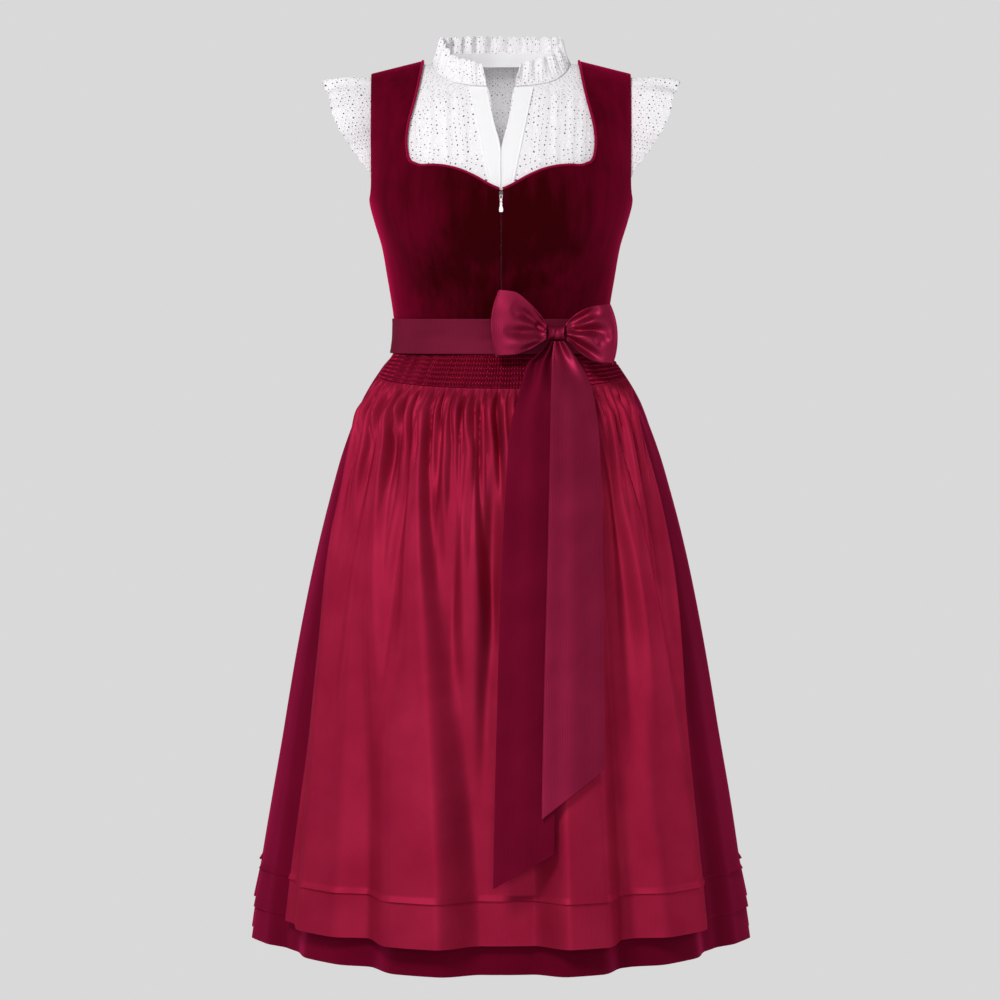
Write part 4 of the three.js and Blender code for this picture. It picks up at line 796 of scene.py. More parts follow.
def skirt_point(angle, down, out):
    turn = np.radians(angle)
    half = skirt_half(down)
    depth = np.where(np.abs(angle) > 90, skirt_back(down), skirt_front(down))
    flat = unit(stack(np.sin(turn) / half, -np.cos(turn) / depth, 0 * down))
    dip = HEM_DIP * rise(down, 700, HEM) * np.maximum(0, np.cos(turn)) ** 2
    return stack(half * np.sin(turn), -depth * np.cos(turn), -down - dip) + flat * np.asarray(out)[..., None]


def tuck_rise(down, tucks):
    """How far a tuck's folded edge stands out at a depth."""
    total = 0 * down
    for top, foot in tucks:
        total = np.where((down > top) & (down <= foot + 0.3), (down - top) / (foot - top), total)
    return TUCK_RISE * np.clip(total, 0, 1)


def skirt_out(angle, down):
    pressed = 1 - rise(np.abs(angle), 70, 84)
    sway = 1.6 * np.sin(np.radians(angle * 7)) + 0.9 * np.sin(np.radians(angle * 13 + 40))
    wave = 0.5 + 0.5 * np.cos(np.radians((angle + sway) * 40))
    fine = (0.5 + 0.5 * np.cos(np.radians((angle - 1.3 * sway) * 97))) * (1 - rise(down, 345, 400))
    gathers = gather_rise(down) * (0.75 * wave + 0.25 * fine) * lerp(1, 0.25, pressed)
    folds = large_folds(angle, down) * lerp(1, 0.65, pressed) - 6 * pressed * rise(down, 400, 520)
    soft = np.sin(np.radians(angle * 23 + 60 * np.sin(down / 170))) * rise(down, 430, 560) * (1 - rise(down, 860, 960))
    return folds + gathers + 1.1 * soft * (1 - pressed) + tuck_rise(down, TUCKS) * lerp(1, 0.5, pressed)


def skirt_quarter(start, end):
    def surface(u, v, out):
        down = skirt_row(1 - v)
        angle = lerp(start, end, u)
        beside = np.minimum(u, 1 - u) * (end - start) * np.pi / 180 * skirt_half(down)
        side = np.where(np.abs(angle) > 90, 1.0, -1.0)
        side_angle = np.where(np.isclose(np.abs(angle), 90), angle + 1e-6 * side * np.sign(angle), angle)
        return skirt_point(side_angle, down, out + skirt_out(angle, down) + seam_roll(beside, 0.6, 1.5))

    return surface


for node, start, end in [
    ("skirt_front_left", 0, 90),
    ("skirt_back_left", 90, 180),
    ("skirt_front_right", -90, 0),
    ("skirt_back_right", -180, -90),
]:
    piece = cloth("cotton_" + node, skirt_quarter(start, end), 100, 120, 1.2)
    sew_on(piece, cotton, [node])


# ---------- Blouse ----------
# White cotton with small embroidered eyelets: two fronts with soft gathers at the neck seam, one back,
# and two plain bands beside the slit.
BLOUSE_LAYER = -4.9
PLACKET_LAYER = -3.6
SLIT_FOOT = 104.5
BLOUSE_FOOT = 215
BLOUSE_FRONT = table(
    "inner_x inner_down outer_down",
    (0.15, 215, 215),
    (0.15, 165, 180),
    (0.15, 125, 161),
    (0.15, SLIT_FOOT, 152),
    (8.5, 67, 124),
    (17, 27.5, 92),
    (39, 26, 60),
    (60, 22, 36),
    (72, 15.5, 20),
    (79, 8, 9),
    (82, 0, 0),
)
NECK_FRONT = table("x down", (17, 27.5), (28, 27), (39, 26), (60, 22), (72, 15.5), (79, 8), (82, 0.02))
NECK_BACK = table("x down", (75, 1.5), (50, 3), (25, 3.5), (0, 3.5))
BACK_RISE = table("v down", (0, BLOUSE_FOOT), (0.25, 165), (0.6, 75), (1, RIDGE_ROOT**2))
SHOULDER_REACH = 154
PLACKET = table("down inner outer", (29, 17, 38.5), (67, 8.7, 30), (SLIT_FOOT, 0.2, 22), (150, 0.2, 13))

# The eyelets of one repeat of the cloth: across and up from its corner, and the radius, in millimetres.
EYELET_REPEAT = (19.0, 21.0)
EYELETS = (
    (3.0, 3.5, 1.0),
    (3.6, 8.6, 0.75),
    (2.8, 13.2, 0.95),
    (3.4, 18.2, 0.7),
    (7.6, 1.2, 0.6),
    (8.2, 6.0, 0.75),
    (7.2, 10.8, 0.6),
    (8.0, 16.0, 0.75),
    (12.4, 3.8, 0.9),
    (13.0, 8.8, 0.7),
    (11.8, 13.6, 1.0),
    (12.6, 18.8, 0.7),
    (16.6, 1.4, 0.65),
    (17.0, 6.6, 0.75),
    (16.2, 11.4, 0.6),
    (17.0, 16.2, 0.8),
)


# Part of the light that falls on thin white cotton spreads inside it and shines through.
THIN_COTTON = {
    "Roughness": 0.9,
    "Specular_IOR_Level": 0.2,
    "Subsurface_Weight": 0.6,
    "Subsurface_Scale": 1.5 * MM,
    "Subsurface_Radius": (1, 1, 1),
}


def eyelet_cloth(name):
    """White cotton with its small holes, each in a raised ring of stitches; the holes are painted dark as painted shade
    of the inside seen through them.
    """
    material = finish(name, **THIN_COTTON)
    cloth_uv = step(material, "TexCoord")["UV"]
    drift = step(material, "TexNoise", {"Vector": cloth_uv, "Scale": 60, "Detail": 1})["Color"]
    drift = step(material, "VectorMath", {0: drift, 1: (0.5, 0.5, 0.5)}, operation="SUBTRACT")["Vector"]
    drift = step(material, "VectorMath", {0: drift, "Scale": 0.006}, operation="SCALE")["Vector"]
    cloth_uv = step(material, "VectorMath", {0: cloth_uv, 1: drift}, operation="ADD")["Vector"]
    across, up = EYELET_REPEAT
    in_repeat = step(material, "VectorMath", {0: cloth_uv, 1: (across * MM, up * MM, 1)}, operation="MODULO")
    lifted = step(material, "VectorMath", {0: in_repeat["Vector"], 1: (across * MM, up * MM, 0)}, operation="ADD")
    wrapped = step(material, "VectorMath", {0: lifted["Vector"], 1: (across * MM, up * MM, 1)}, operation="MODULO")
    nearest = None
    for x, y, radius in EYELETS:
        centre = (x * MM, y * MM, 0)
        far = step(material, "VectorMath", {0: wrapped["Vector"], 1: centre}, operation="DISTANCE")["Value"]
        beyond = math_step(material, "SUBTRACT", far, radius * MM)
        nearest = beyond if nearest is None else math_step(material, "MINIMUM", nearest, beyond)
    hole = step(material, "MapRange", {"Value": nearest, "From Min": 0.0001, "From Max": -0.00015})["Result"]
    inner = step(material, "MapRange", {"Value": nearest, "From Min": -0.0001, "From Max": 0.0002})["Result"]
    outer = step(material, "MapRange", {"Value": nearest, "From Min": 0.0013, "From Max": 0.0006})["Result"]
    ring = math_step(material, "MULTIPLY", inner, outer)
    weave = step(material, "TexNoise", {"Vector": cloth_uv, "Scale": 1100, "Detail": 3})["Fac"]
    height = math_step(material, "ADD", ring, math_step(material, "MULTIPLY", weave, 0.5))
    height = math_step(material, "SUBTRACT", height, hole)
    relief = step(material, "Bump", {"Height": height, "Strength": 0.5, "Distance": 0.0005})["Normal"]
    shader_input(material, "Normal", relief)
    ground = two_tone(material, weave, (0.76, 0.73, 0.77), (0.9, 0.885, 0.91))
    stitched = step(material, "Mix", {0: ring, 6: ground, 7: (0.92, 0.91, 0.93, 1)}, data_type="RGBA")[2]
    # painted shade: the holes are coloured dark for the shaded inside seen through them
    holes_painted_shade = step(material, "Mix", {0: hole, 6: stitched, 7: (0.12, 0.11, 0.12, 1)}, data_type="RGBA")[2]
    shader_input(material, "Base Color", holes_painted_shade)
    return material


eyelet_cotton = eyelet_cloth("eyelet_cotton")
plain_cotton = finish("plain_cotton", **THIN_COTTON)
cloth_uv = step(plain_cotton, "TexCoord")["UV"]
weave = step(plain_cotton, "TexNoise", {"Vector": cloth_uv, "Scale": 1400, "Detail": 3})["Fac"]
shader_input(plain_cotton, "Base Color", two_tone(plain_cotton, weave, (0.85, 0.84, 0.86), (0.93, 0.92, 0.935)))
relief = step(plain_cotton, "Bump", {"Height": weave, "Strength": 0.3, "Distance": 0.0002})["Normal"]
shader_input(plain_cotton, "Normal", relief)


def blouse_edge(down, backwards):
    root = np.sqrt(np.maximum(down, RIDGE_ROOT**2))
    angle = armhole(down) + 0.3
    return np.where(down > 175, beside_seam(root, backwards), 180 - angle if backwards else angle)


def soft_gathers(x, down):
    """Small upright gathers below the neck seam, deeper beside the bands, that fade further down."""
    sway = 2.2 * np.sin(x / 17 + 1) + 1.2 * np.sin(x / 7.1)
    near = bell(np.abs(x) - 52, 24) * rise(down, 18, 44) * (1 - rise(down, 90, 170))
    return near * (1.1 * np.sin((x + sway) / 2.9 + 0.02 * down) + 0.6 * np.sin((x - sway) / 1.7))


def blouse_front(side):
    inner_x, inner_down = smooth_rows(BLOUSE_FRONT, "inner_x"), smooth_rows(BLOUSE_FRONT, "inner_down")
    outer_down = smooth_rows(BLOUSE_FRONT, "outer_down")

    def surface(u, v, out):
        root_in = np.sqrt(np.maximum(inner_down(v), RIDGE_ROOT**2))
        down_out = np.maximum(outer_down(v), RIDGE_ROOT**2)
        start, end = angle_at(inner_x(v), root_in), blouse_edge(down_out, False)
        angle, root = lerp(start, end, u), lerp(root_in, np.sqrt(down_out), u)
        x = torso_half(root) * np.sin(np.radians(angle))
        return on_torso(side * angle, root, out + BLOUSE_LAYER + 0.8 * soft_gathers(x, root * root))

    return surface


neck_back = smooth(
    np.append(NECK_BACK["x"][::-1], NECK_FRONT["x"][-1]), np.append(NECK_BACK["down"][::-1], RIDGE_ROOT**2)
)
back_rise = smooth(BACK_RISE["v"], BACK_RISE["down"])


def blouse_back(u, v, out):
    across = 2 * u - 1
    reach = np.abs(across) * SHOULDER_REACH
    tip = NECK_FRONT["x"][-1]
    top_root = np.sqrt(np.where(reach < tip, np.maximum(neck_back(reach), RIDGE_ROOT**2), RIDGE_ROOT**2))
    top_turn = 180 - np.maximum(angle_at(reach, top_root, True), blouse_edge(0 * reach, True))
    side_down = back_rise(v)
    side_turn = 180 - blouse_edge(side_down, True)
    foot_turn = 180 - blouse_edge(np.array(float(BLOUSE_FOOT)), True)
    head_turn = 180 - blouse_edge(np.array(RIDGE_ROOT**2), True)
    foot_root, head_root = math.sqrt(BLOUSE_FOOT), RIDGE_ROOT
    turn = lerp(across * foot_turn, np.sign(across) * top_turn, v) + across * side_turn
    turn = turn - across * lerp(foot_turn, head_turn, v)
    root = lerp(foot_root, top_root, v) + np.sqrt(side_down) - lerp(foot_root, head_root, v)
    angle = np.where(turn >= 0, 180 - turn, -180 - turn)
    x = torso_half(root) * np.sin(np.radians(angle))
    soft = 0.7 * np.sin(x / 6.5) * bell(x, 45) * (1 - rise(root * root, 60, 150))
    return on_torso(angle, np.maximum(root, RIDGE_ROOT), out + BLOUSE_LAYER + soft)


band_inner = smooth(PLACKET["down"], PLACKET["inner"])
band_outer = smooth(PLACKET["down"], PLACKET["outer"])


def placket(side):
    def surface(u, v, out):
        down = lerp(150, 29, v)
        root = np.sqrt(down)
        x = lerp(band_inner(down), band_outer(down), u)
        beside = np.minimum(u, 1 - u) * (band_outer(down) - band_inner(down))
        rolled = 0.25 * bell(beside - 1.2, 0.7) - 0.25 * bell(beside - 2.6, 0.35)
        return on_torso(side * angle_at(x, root), root, out + PLACKET_LAYER + rolled)

    return surface


for side, hand in ((1, "left"), (-1, "right")):
    front = cloth("eyelet_front_" + hand, blouse_front(side), 84, 90, 1.0)
    sew_on(front, eyelet_cotton, ["blouse_front_" + hand])
    band = cloth("band_" + hand, placket(side), 24, 60, 0.9)
    sew_on(band, plain_cotton, ["placket_" + hand])
back = cloth("eyelet_back", blouse_back, 90, 56, 1.0)
sew_on(back, eyelet_cotton, ["blouse_back"])


# ---------- Collar ----------
# A plain stand sewn round the neck, open in front, and above it a gathered frill of the eyelet cotton
# whose edge is scalloped.
COLLAR_TOP = table(
    "x y z",
    (18.5, -60.5, 0),
    (38, -52, 5.3),
    (53.6, -38, 10.3),
    (62.5, -18, 24),
    (67, 5, 33),
    (60, 35, 38),
    (40, 52, 41),
    (0, 62, 41.8),
)
STAND_SHARE = 0.42
FRILL_START = 0.02
FRILL_WAVES = 23
FRILL_RISE = 2.6
SCALLOPS = 49
COLLAR_LENGTH = 430


def ring_path(half):
    """A smooth path through one half's points and their mirror images, by even steps of length."""
    other = half[:-1] * np.array((-1, 1, 1))
    points = np.concatenate([other, half[::-1]])
    ghost_first, ghost_last = 2 * points[0] - points[1], 2 * points[-1] - points[-2]
    padded = np.concatenate([[ghost_first], points, [ghost_last]])
    fine = []
    for k in range(len(points) - 1):
        p0, p1, p2, p3 = padded[k : k + 4]
        gaps = [np.linalg.norm(b - a) ** 0.5 for a, b in ((p0, p1), (p1, p2), (p2, p3))]
        t1 = (p1 - p0) / gaps[0] - (p2 - p0) / (gaps[0] + gaps[1]) + (p2 - p1) / gaps[1]
        t2 = (p2 - p1) / gaps[1] - (p3 - p1) / (gaps[1] + gaps[2]) + (p3 - p2) / gaps[2]
        t = np.linspace(0, 1, 24, endpoint=False)[:, None]
        a, b = t1 * gaps[1], t2 * gaps[1]
        fine.append(
            (2 * t**3 - 3 * t**2 + 1) * p1 + (t**3 - 2 * t**2 + t) * a + (3 * t**2 - 2 * t**3) * p2 + (t**3 - t**2) * b
        )
    fine = np.concatenate(fine + [points[-1:]])
    length = np.concatenate([[0], np.linalg.norm(np.diff(fine, axis=0), axis=1).cumsum()])
    return lambda u: np.stack([np.interp(u, length / length[-1], fine[:, axis]) for axis in range(3)], axis=-1)


neck_half = np.concatenate(
    [
        on_torso(angle_at(NECK_FRONT["x"], np.sqrt(NECK_FRONT["down"])), np.sqrt(NECK_FRONT["down"]), BLOUSE_LAYER),
        on_torso(angle_at(NECK_BACK["x"], np.sqrt(NECK_BACK["down"]), True), np.sqrt(NECK_BACK["down"]), BLOUSE_LAYER),
    ]
)
collar_base = ring_path(neck_half)
collar_top = ring_path(np.stack(list(COLLAR_TOP.values()), axis=-1))


def collar_plain(u, v):
    return lerp(collar_base(u), collar_top(u), np.asarray(v)[..., None])


def collar_facing(u, v):
    w = np.clip(u, 0.01, 0.99)
    along = collar_plain(w + 0.01, v) - collar_plain(w - 0.01, v)
    up = collar_top(w) - collar_base(w)
    return unit(np.cross(up, along))


def collar_stand(u, v, out):
    share = lerp(-0.03, STAND_SHARE, v)
    fold = 0.25 * np.sin(2 * np.pi * 11 * u) * np.sin(np.pi * v)
    edge = 0.3 * bell(v - 0.88, 0.06)
    return collar_plain(u, share) + collar_facing(u, share) * np.asarray(out + fold + edge)[..., None]


def collar_frill(u, v, out):
    share = lerp(FRILL_START, 1, v)
    loose = ease((share - FRILL_START) / (1 - FRILL_START))
    sway = 0.004 * np.sin(2 * np.pi * 3 * u) + 0.003 * np.sin(2 * np.pi * 7 * u + 1)
    wave = np.cos(2 * np.pi * FRILL_WAVES * (u + sway))
    fine = 0.4 * np.cos(2 * np.pi * 71 * (u - sway)) * (1 - 0.5 * v) * rise(v, 0, 0.15)
    scallop = 0.16 * (np.abs(np.sin(np.pi * SCALLOPS * u)) ** 0.6 - 1) * v**4
    rounded_end = 0.45 * np.maximum(0, 1 - np.minimum(u, 1 - u) * COLLAR_LENGTH / 7) ** 2 * v**2
    forward = 1.3 + (0.1 + FRILL_RISE * loose) * wave * rise(v, 0, 0.3) + FRILL_RISE * loose + fine
    place = collar_plain(u, share + scallop - rounded_end)
    return place + collar_facing(u, share) * np.asarray(out + forward)[..., None]


stand = cloth("collar_band", collar_stand, 170, 10, 1.0)
sew_on(stand, plain_cotton, ["collar_stand"])
frill = cloth("collar_ruffle", collar_frill, 366, 22, 1.0)
sew_on(frill, eyelet_cotton, ["collar_frill"])


# ---------- Sleeves ----------
# Flutter caps of the same cotton, gathered into each armhole over the shoulder. Their free edge carries a
# scalloped lace border.
SLEEVE_REACH = table("down wide", (0, 59), (38, 50), (67, 42), (86, 30), (106, 18), (125, 7), (135, 3.5))
SLEEVE_FOOT = 135
SLEEVE_PAST = 0.8
SLEEVE_WAVES = 7
SLEEVE_SCALLOPS = 31
sleeve_reach = smooth(SLEEVE_REACH["down"], SLEEVE_REACH["wide"])


def sleeve_root(w):
    down = np.maximum(SLEEVE_FOOT * w * w, RIDGE_ROOT**2)
    angle = armhole(down) + SLEEVE_PAST
    return on_torso(np.where(w > 0, 180 - angle, angle), np.sqrt(down), BLOUSE_LAYER)


def sleeve_crest(w):
    ends = sleeve_root(np.array((-0.04, 0.04)))
    over = lerp(ends[0], ends[1], np.clip((w / 0.04 + 1) / 2, 0, 1)[..., None])
    return np.where((np.abs(w) > 0.04)[..., None], sleeve_root(w), over)


def sleeve(side):
    def surface(u, v, out):
        w = 2 * u - 1
        wide = sleeve_reach(SLEEVE_FOOT * w * w)
        lean = np.sign(w) * np.minimum(1, np.abs(w) * 2.2)
        way = stack(1 + 0 * w, 0.3 * lean, -0.07 - 0.16 * np.abs(w)) * wide[..., None]
        t = np.clip(w, -0.97, 0.97)
        along = unit(sleeve_crest(t + 0.03) - sleeve_crest(t - 0.03))
        facing = unit(np.cross(unit(way), along))
        ripple = np.cos(2 * np.pi * SLEEVE_WAVES * u) * v**1.3 * 3.4 * np.minimum(1, wide / 26)
        belly = 4 * np.sin(np.pi * v) * np.minimum(1, wide / 40)
        fine = 0.35 * np.cos(2 * np.pi * 19 * u + 2 * np.sin(9 * u)) * (1 - rise(v, 0, 0.5)) * np.minimum(1, wide / 20)
        from_edge = (1 - v) * wide
        border = (0.45 * bell(from_edge - 13, 0.7) + 0.4 * bell(from_edge - 10, 0.6)) * np.minimum(1, wide / 26)
        scallop = (np.abs(np.sin(np.pi * SLEEVE_SCALLOPS * u)) ** 0.6 - 1) * np.minimum(2.6, 0.2 * wide) / wide
        reach = v + scallop * v**6
        point = sleeve_crest(w) + way * reach[..., None] + facing * (ripple + belly + fine + border + out)[..., None]
        return point * np.array((side, 1, 1))

    return surface


for side, hand in ((1, "left"), (-1, "right")):
    cap = cloth("flutter_sleeve_" + hand, sleeve(side), 180, 28, 1.0)
    sew_on(cap, eyelet_cotton, ["sleeve_" + hand])


# ---------- Belt ----------
# The apron's waistband of ribbed satin in front, and the tie ribbon that is carried on round the back.
BELT = table("down half front back", (300, 130.2, 94, 77.8), (320, 130.6, 94.4, 78.8), (341, 133, 97.2, 81.6))
BELT_TOP = 300
BELT_FOOT = 341
BELT_CREASES = table(
    "x0 down0 x1 down1 wide deep",
    (-110, 322, -60, 318, 3.5, 0.5),
    (-20, 306, 40, 322, 4, 0.8),
    (-30, 326, 45, 318, 3, 0.6),
    (0, 336, 48, 326, 3, 0.5),
    (84, 312, 118, 318, 3.5, 0.7),
    (86, 330, 116, 326, 3, 0.5),
)
RIBBON_THICK = 1.1
belt_half = smooth(BELT["down"], BELT["half"])
belt_front = smooth(BELT["down"], BELT["front"])
belt_back = smooth(BELT["down"], BELT["back"])


def satin(name, dark, light, rib_scale, rough, lustre):
    """Satin with a fine rib along the piece, and slow changes of tone. Its lustre has the dye's colour."""
    material = finish(
        name, Roughness=rough, Specular_IOR_Level=0.05, Metallic=lustre, Specular_Tint=(1.0, 0.3, 0.45, 1)
    )
    cloth_uv = step(material, "TexCoord")["UV"]
    ribs = step(material, "TexWave", {"Vector": cloth_uv, "Scale": rib_scale}, bands_direction="X")["Fac"]
    slow = step(material, "TexNoise", {"Vector": cloth_uv, "Scale": 14, "Detail": 3})["Fac"]
    slub = step(material, "TexNoise", {"Vector": cloth_uv, "Scale": 900, "Detail": 2})["Fac"]
    tone = math_step(material, "ADD", math_step(material, "MULTIPLY", ribs, 0.4), slow)
    shader_input(material, "Base Color", two_tone(material, math_step(material, "SUBTRACT", tone, 0.2), dark, light))
    height = math_step(material, "ADD", ribs, slub)
    relief = step(material, "Bump", {"Height": height, "Strength": 0.15, "Distance": 0.0002})["Normal"]
    shader_input(material, "Normal", relief)
    return material


ribbon_satin = satin("ribbon_satin", (0.2, 0.008, 0.036), (0.36, 0.02, 0.068), 160, 0.5, 0.8)
# painted shade: a darker copy of the ribbon satin for the back tail, which hangs turned away in shade
ribbon_satin_painted_shade = satin("ribbon_satin_painted_shade", (0.1, 0.0015, 0.014), (0.18, 0.004, 0.026), 160, 0.6, 0.5)
# painted shade: the belt is the bow's ribbon, given a darker copy of its satin because it stands upright and catches
# less light
belt_satin_painted_shade = satin("belt_satin_painted_shade", (0.11, 0.006, 0.022), (0.19, 0.012, 0.038), 160, 0.6, 0.5)


def belt_point(angle, down, out):
    turn = np.radians(angle)
    depth = np.where(np.abs(angle) > 90, belt_back(down), belt_front(down)) + out
    return stack((belt_half(down) + out) * rounded(np.sin(turn)), -depth * rounded(np.cos(turn)), -down)


def belt(start, end):
    def surface(u, v, out):
        angle = lerp(start + 0.02, end - 0.02, u)
        angle = np.where(angle > 180, angle - 360, angle)
        down = lerp(BELT_FOOT, BELT_TOP, v)
        x = belt_half(down) * rounded(np.sin(np.radians(angle)))
        edge = np.minimum(down - BELT_TOP, BELT_FOOT - down)
        front = np.where(np.abs(angle) < 90, 1, 0)
        relief = 0.3 * bell(edge - 1.5, 0.9) - front * creases(BELT_CREASES, x, down)
        return belt_point(angle, down, out + relief)

    return surface


for node, start, end, long in (("belt_front", -90, 90, 0.355), ("belt_back", 90, 270, 0.32)):
    band = cloth("satin_" + node, belt(start, end), 150, 20, RIBBON_THICK)
    sew_on(band, belt_satin_painted_shade, [node])


# ---------- Apron ----------
# Raspberry satin: a smocked head sewn below the belt, where six rows of stitches hold the pleats in
# puffs, then the gathered skirt of the apron with one narrow tuck above its deep hem.
SMOCKING_FOOT = 381
SMOCKING_RISE_AT_SIDES = 11
SMOCKING_STITCH_ROWS = 7
SMOCKING_PLEATS = 110
APRON_FOOT = 1006
APRON_EDGE = table(
    "down right left",
    (341, -70, 74),
    (370, -69.5, 72),
    (404, -67.5, 66.5),
    (455, -62.5, 64),
    (537, -61, 62),
    (633, -61, 61),
    (765, -61, 59),
    (850, -61.5, 58),
    (1006, -62.3, 56.5),
)
APRON_CLEARANCE = table("down out", (341, 6.9), (380, 7), (430, 9), (1006, 9))
APRON_FOLDS = table(
    "top foot half rise reach",
    (-65, -62, 3.2, 8, 700),
    (-57, -54, 2.4, 7, 560),
    (-46, -38, 3.8, 13, 860),
    (-37, -31, 2.2, 6, 520),
    (-29.8, -21, 2.8, 11, 760),
    (-24.2, -15, 2.2, 7, 600),
    (-18.3, -12, 2.6, 10, 660),
    (-11.5, -6, 2.8, 12, 820),
    (-4.9, -2, 2.4, 8, 590),
    (3, 5, 2.6, 8, 640),
    (12, 12, 2.8, 7, 700),
    (22, 20, 2.8, 7, 620),
    (31, 28, 2.6, 7, 560),
    (42.8, 46, 3, 12, 880),
    (50.4, 51, 2.4, 8, 640),
    (60, 56, 3.2, 10, 780),
)

# The pleats below the smocking: where each stands across the apron, how high it is and how far down it runs.
APRON_PLEATS = table(
    "at high reach",
    (0.004, 4, 150),
    (0.031, 5.4, 90),
    (0.064, 5, 210),
    (0.09, 6.2, 130),
    (0.126, 5.2, 75),
    (0.157, 6.6, 190),
    (0.184, 4.6, 95),
    (0.221, 6.8, 240),
    (0.252, 5.6, 110),
    (0.279, 6.4, 160),
    (0.317, 5.2, 80),
    (0.344, 6.8, 200),
    (0.381, 5.8, 120),
    (0.409, 6.6, 250),
    (0.438, 4.8, 85),
    (0.474, 6.8, 170),
    (0.503, 5.4, 105),
    (0.541, 6.4, 220),
    (0.572, 5, 90),
    (0.599, 6.2, 140),
    (0.636, 6.6, 180),
    (0.664, 5.2, 80),
    (0.702, 6.8, 230),
    (0.731, 5.6, 115),
    (0.759, 6.4, 170),
    (0.796, 5, 90),
    (0.825, 6.6, 210),
    (0.863, 5.8, 100),
    (0.891, 6.2, 160),
    (0.923, 5, 85),
    (0.958, 5.8, 190),
    (0.988, 4, 110),
)
FINE_PLEATS = 56
FINE_PLEAT_RISE = table("below rise", (0, 0.6), (5, 2.0), (14, 1.3), (28, 0.25), (44, 0))
APRON_ROWS = table(
    "v row",
    (0, 0),
    (0.28, 45),
    (0.48, 170),
    (0.76, 555),
    (0.8, 567),
    (0.88, 581),
    (1, APRON_FOOT - SMOCKING_FOOT),
)
apron_right = smooth(APRON_EDGE["down"], APRON_EDGE["right"])
apron_left = smooth(APRON_EDGE["down"], APRON_EDGE["left"])
apron_clearance = smooth(APRON_CLEARANCE["down"], APRON_CLEARANCE["out"])
fine_pleat_rise = smooth(FINE_PLEAT_RISE["below"], FINE_PLEAT_RISE["rise"])
apron_row = smooth(APRON_ROWS["v"], APRON_ROWS["row"])

apron_satin = satin("apron_satin", (0.24, 0.005, 0.028), (0.41, 0.019, 0.062), 250, 0.6, 0.68)
# painted shade: a darker copy of the apron satin for the smocked head, whose deep pleats hold shade
smocked_satin_painted_shade = satin("smocked_satin_painted_shade", (0.13, 0.002, 0.014), (0.3, 0.01, 0.042), 250, 0.45, 0.7)

# The long valleys between the apron's folds.
APRON_VALLEYS = table(
    "x0 down0 x1 down1 wide deep",
    (-168, 398, -190, 520, 4, 6),
    (-136, 396, -170, 690, 5.5, 8),
    (-118, 392, -126, 500, 3.5, 6),
    (-102, 394, -134, 800, 7, 10),
    (-66, 392, -74, 520, 4, 7),
    (-33, 392, -38, 560, 4.5, 7),
    (-5, 392, -20, 850, 7, 10),
    (125, 392, 154, 830, 6.5, 9),
    (142, 392, 176, 540, 4, 7),
    (154, 396, 203, 770, 6, 8),
)


def apron_angle(u, down):
    return lerp(apron_right(down), apron_left(down), u)


def smocking_foot(u):
    return SMOCKING_FOOT - SMOCKING_RISE_AT_SIDES * (2 * u - 1) ** 2


def apron_pleats(u, below):
    """Round ridges with sharp valleys between them: each place belongs to its nearest pleat."""
    at, high, reach = APRON_PLEATS.values()
    valleys = np.concatenate([[2 * at[0] - at[1]], (at[1:] + at[:-1]) / 2, [2 * at[-1] - at[-2]]])
    mine = np.clip(np.searchsorted(valleys, u) - 1, 0, len(at) - 1)
    half = np.where(u < at[mine], at[mine] - valleys[mine], valleys[mine + 1] - at[mine])
    aside = np.minimum(1, np.abs(u - at[mine]) / half)
    fade = rise(below, -1, 13) * (1 - rise(below, 0.15 * reach[mine], reach[mine]))
    fine = 0.5 + 0.5 * np.cos(2 * np.pi * FINE_PLEATS * u)
    return 1.2 * high[mine] * fade * (1 - aside**1.8) + fine_pleat_rise(below) * fine


def apron_out(u, down):
    angle = apron_angle(u, down)
    folds = 0 * angle
    for top, foot, half, height, reach in zip(*APRON_FOLDS.values()):
        lean = rise(down, 381, reach)
        fade = rise(down, SMOCKING_FOOT, 410) * (1 - rise(down, lerp(420, reach, 0.4), reach))
        ridge = height * fade * fold_ridge(angle, lerp(top, foot, lean), half * lerp(1, 1.8, lean))
        folds = folds + ridge**3
    folds = folds ** (1 / 3)  # the tallest fold wins, with a rounded valley where two meet
    below = down - smocking_foot(u)
    x = skirt_half(down) * np.sin(np.radians(angle))
    gathers = apron_pleats(u, below) - 1.5 * rise(below, 0, 12) - creases(APRON_VALLEYS, x, down)
    return large_folds(angle, down) + apron_clearance(down) + folds + gathers


def smocking(u, v, out):
    t = 1 - v
    down = lerp(BELT_FOOT + 0.3, smocking_foot(u), t)
    row = np.abs(np.sin(np.pi * SMOCKING_STITCH_ROWS * t)) ** 0.6
    pleat = 0.5 + 0.5 * np.cos(2 * np.pi * SMOCKING_PLEATS * (u + 0.0012 * np.sin(40 * u)))
    puff = row * (0.2 + 2.3 * pleat) - 0.6
    return skirt_point(apron_angle(u, down), down, out + apron_clearance(down) + puff)


def apron_skirt(u, v, out):
    row = apron_row(1 - v)
    start = smocking_foot(u) + 0.3
    down = SMOCKING_FOOT + row - (SMOCKING_FOOT - start) * (1 - rise(row, 0, 90))
    relief = apron_out(u, down) + tuck_rise(down, TUCKS[:1])
    return skirt_point(apron_angle(u, down), down, out + relief)


head = cloth("smocked_head", smocking, 550, 49, 1.0)
sew_on(head, smocked_satin_painted_shade, ["apron_smocking"])
apron = cloth("satin_apron", apron_skirt, 368, 132, 1.0)
sew_on(apron, apron_satin, ["apron_skirt"])


# ---------- Bow ----------
# The tie ribbon's bow, on the wearer's left: two loops pinched in at the knot, a wrapped knot, and two
# tails with slanting ends that hang over the apron.
KNOT = (65, 317)
RIGHT_LOOP = table("out above below", (9, 5, 4.5), (17, 18, 10), (33, 37, 19), (50, 49, 24), (77, 52, 25.5))
LEFT_LOOP = table("out above below", (9, 5, 4.5), (16, 16, 11), (28, 25, 23), (44, 32, 31.5), (72, 35.5, 35.5))
LOOP_DEPTH = 11
LOOP_KNOT_Y = -91

